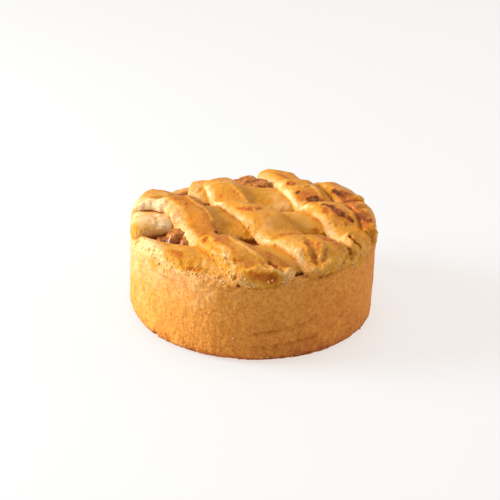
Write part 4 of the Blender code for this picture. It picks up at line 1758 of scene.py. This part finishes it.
def lid_strips() -> tuple[Strip, ...]:
    """Return the lid's strips, the under strips first, then the over strips from the left."""
    under, over = Layer.UNDER, Layer.OVER
    return (
        Strip("under_front", under,
              ((-47.0, -24.5, 17.0, 0.0), (-33.0, -30.5, 15.0, 0.0), (-23.5, -33.3, 17.5, 0.0),
               (-14.0, -33.0, 24.5, 0.0), (-3.0, -33.4, 25.2, 0.0), (9.0, -32.5, 24.0, 0.0),
               (18.0, -30.0, 20.5, 0.0), (29.0, -27.5, 18.0, 0.0), (42.0, -21.5, 13.0, 0.0)),
              fuse=3.2, square=(2.3, 2.3), bare=0.33, glaze=0.43, marks=front_marks()),
        Strip("under_middle", under,
              ((-52.0, -6.0, 23.0, 1.2), (-41.0, -3.5, 19.5, 0.9), (-33.0, 1.0, 16.0, 0.0),
               (-22.0, 2.5, 24.5, 0.0), (-11.0, 1.0, 27.0, 0.0), (2.5, -2.8, 22.0, 0.0),
               (15.0, 1.0, 22.5, 0.0), (28.0, 3.0, 20.5, 0.0), (51.0, 4.5, 20.0, 0.0)),
              fuse=1.4, droop=5.0, drape=0.8, square=(2.3, 2.3), bare=0.33,
              glaze=0.41, marks=middle_marks()),
        Strip("under_back", under,
              ((-26.5, 32.0, 16.0, -0.6), (-19.5, 31.2, 21.0, 0.0), (-8.0, 28.3, 22.2, 0.0),
               (6.0, 24.5, 23.0, 0.0), (20.0, 25.0, 21.5, 0.0), (45.0, 25.0, 20.0, 0.0)),
              fuse=1.4, square=(2.3, 2.3), bare=0.33, glaze=0.41, marks=back_marks()),
        Strip("over_left", over,
              ((-51.0, 10.0, 19.0, 3.0), (-39.0, 10.8, 17.6, 2.8), (-28.5, 2.5, 16.2, 0.6),
               (-22.5, -11.0, 15.2, 0.0), (-17.5, -21.5, 14.2, 0.0), (-10.6, -32.8, 14.6, 0.0),
               (-2.0, -42.3, 18.0, 0.0), (8.5, -52.0, 23.5, 0.0)),
              fuse=1.8, droop=2.6, drape=0.7, glaze=0.63, glaze_from=-0.40,
              marks=left_marks()),
        Strip("over_centre", over,
              ((-15.8, 30.5, 13.0, -1.0), (-13.2, 24.5, 14.2, -0.6), (-7.5, 11.5, 15.0, -0.8),
               (5.0, -6.0, 17.0, 0.0), (18.5, -24.0, 18.5, 0.0), (26.5, -33.5, 21.0, 0.0),
               (34.5, -43.0, 20.5, 0.0)),
              fuse=0.7, droop=3.6, drape=0.25, sunk=1.0, glaze=0.54, glaze_from=-0.80,
              marks=centre_marks()),
        Strip("over_right", over,
              ((8.0, 50.0, 17.0, 1.2), (13.2, 39.5, 13.5, 1.0), (18.0, 27.8, 15.2, 0.0),
               (26.3, 12.5, 15.0, 0.0), (34.5, -1.0, 15.0, 0.0), (39.5, -14.0, 15.0, 0.0),
               (45.0, -28.0, 15.0, 0.0)),
              fuse=1.2, drape=0.4, sunk=1.2, glaze=0.555, glaze_from=-0.70,
              marks=right_marks()),
        Strip("over_edge", over,
              ((27.5, 39.5, 15.0, -0.8), (36.2, 28.5, 16.5, 0.0), (42.2, 15.0, 16.0, 0.8),
               (45.5, 2.0, 15.0, 0.0), (47.0, -7.5, 11.0, 0.0)),
              fuse=2.2, glaze=0.59, glaze_from=-0.80, marks=edge_marks()),
    )


def write_sizes(packed: Sequence[Vector], shown: Sequence[Vector]) -> None:
    sizes = {"cad": [list(corner) for corner in packed],
             "visual": [list(corner) for corner in shown]}
    for name, (low, high) in sizes.items():
        log.info("%s box in mm: %s", name, [round(1000.0 * (b - a), 2) for a, b in zip(low, high)])


def main() -> None:
    """Build the pie's pieces and the studio round them."""
    logging.basicConfig(level=logging.INFO, format="%(name)s: %(message)s")
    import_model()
    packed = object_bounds()
    case_finish = DoughFinish("case_crust", CASE_STOPS, mottle=0.20, speckles=1.45,
                              bump=0.32 * MM)
    lid_finish = DoughFinish("lid_dough", LID_STOPS, mottle=0.38, speckles=0.95, bump=0.36 * MM)
    lid_dough = lid_finish.material()
    surface = Pastry(lid_strips(), case_marks()).build(case_finish.material(), lid_dough)
    Crumbs(crumb_places()).build(surface, lid_dough)
    AppleFilling().build(SyrupFinish().material())
    Studio().build()
    write_sizes(packed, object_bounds())


if __name__ == "__main__":
    main()
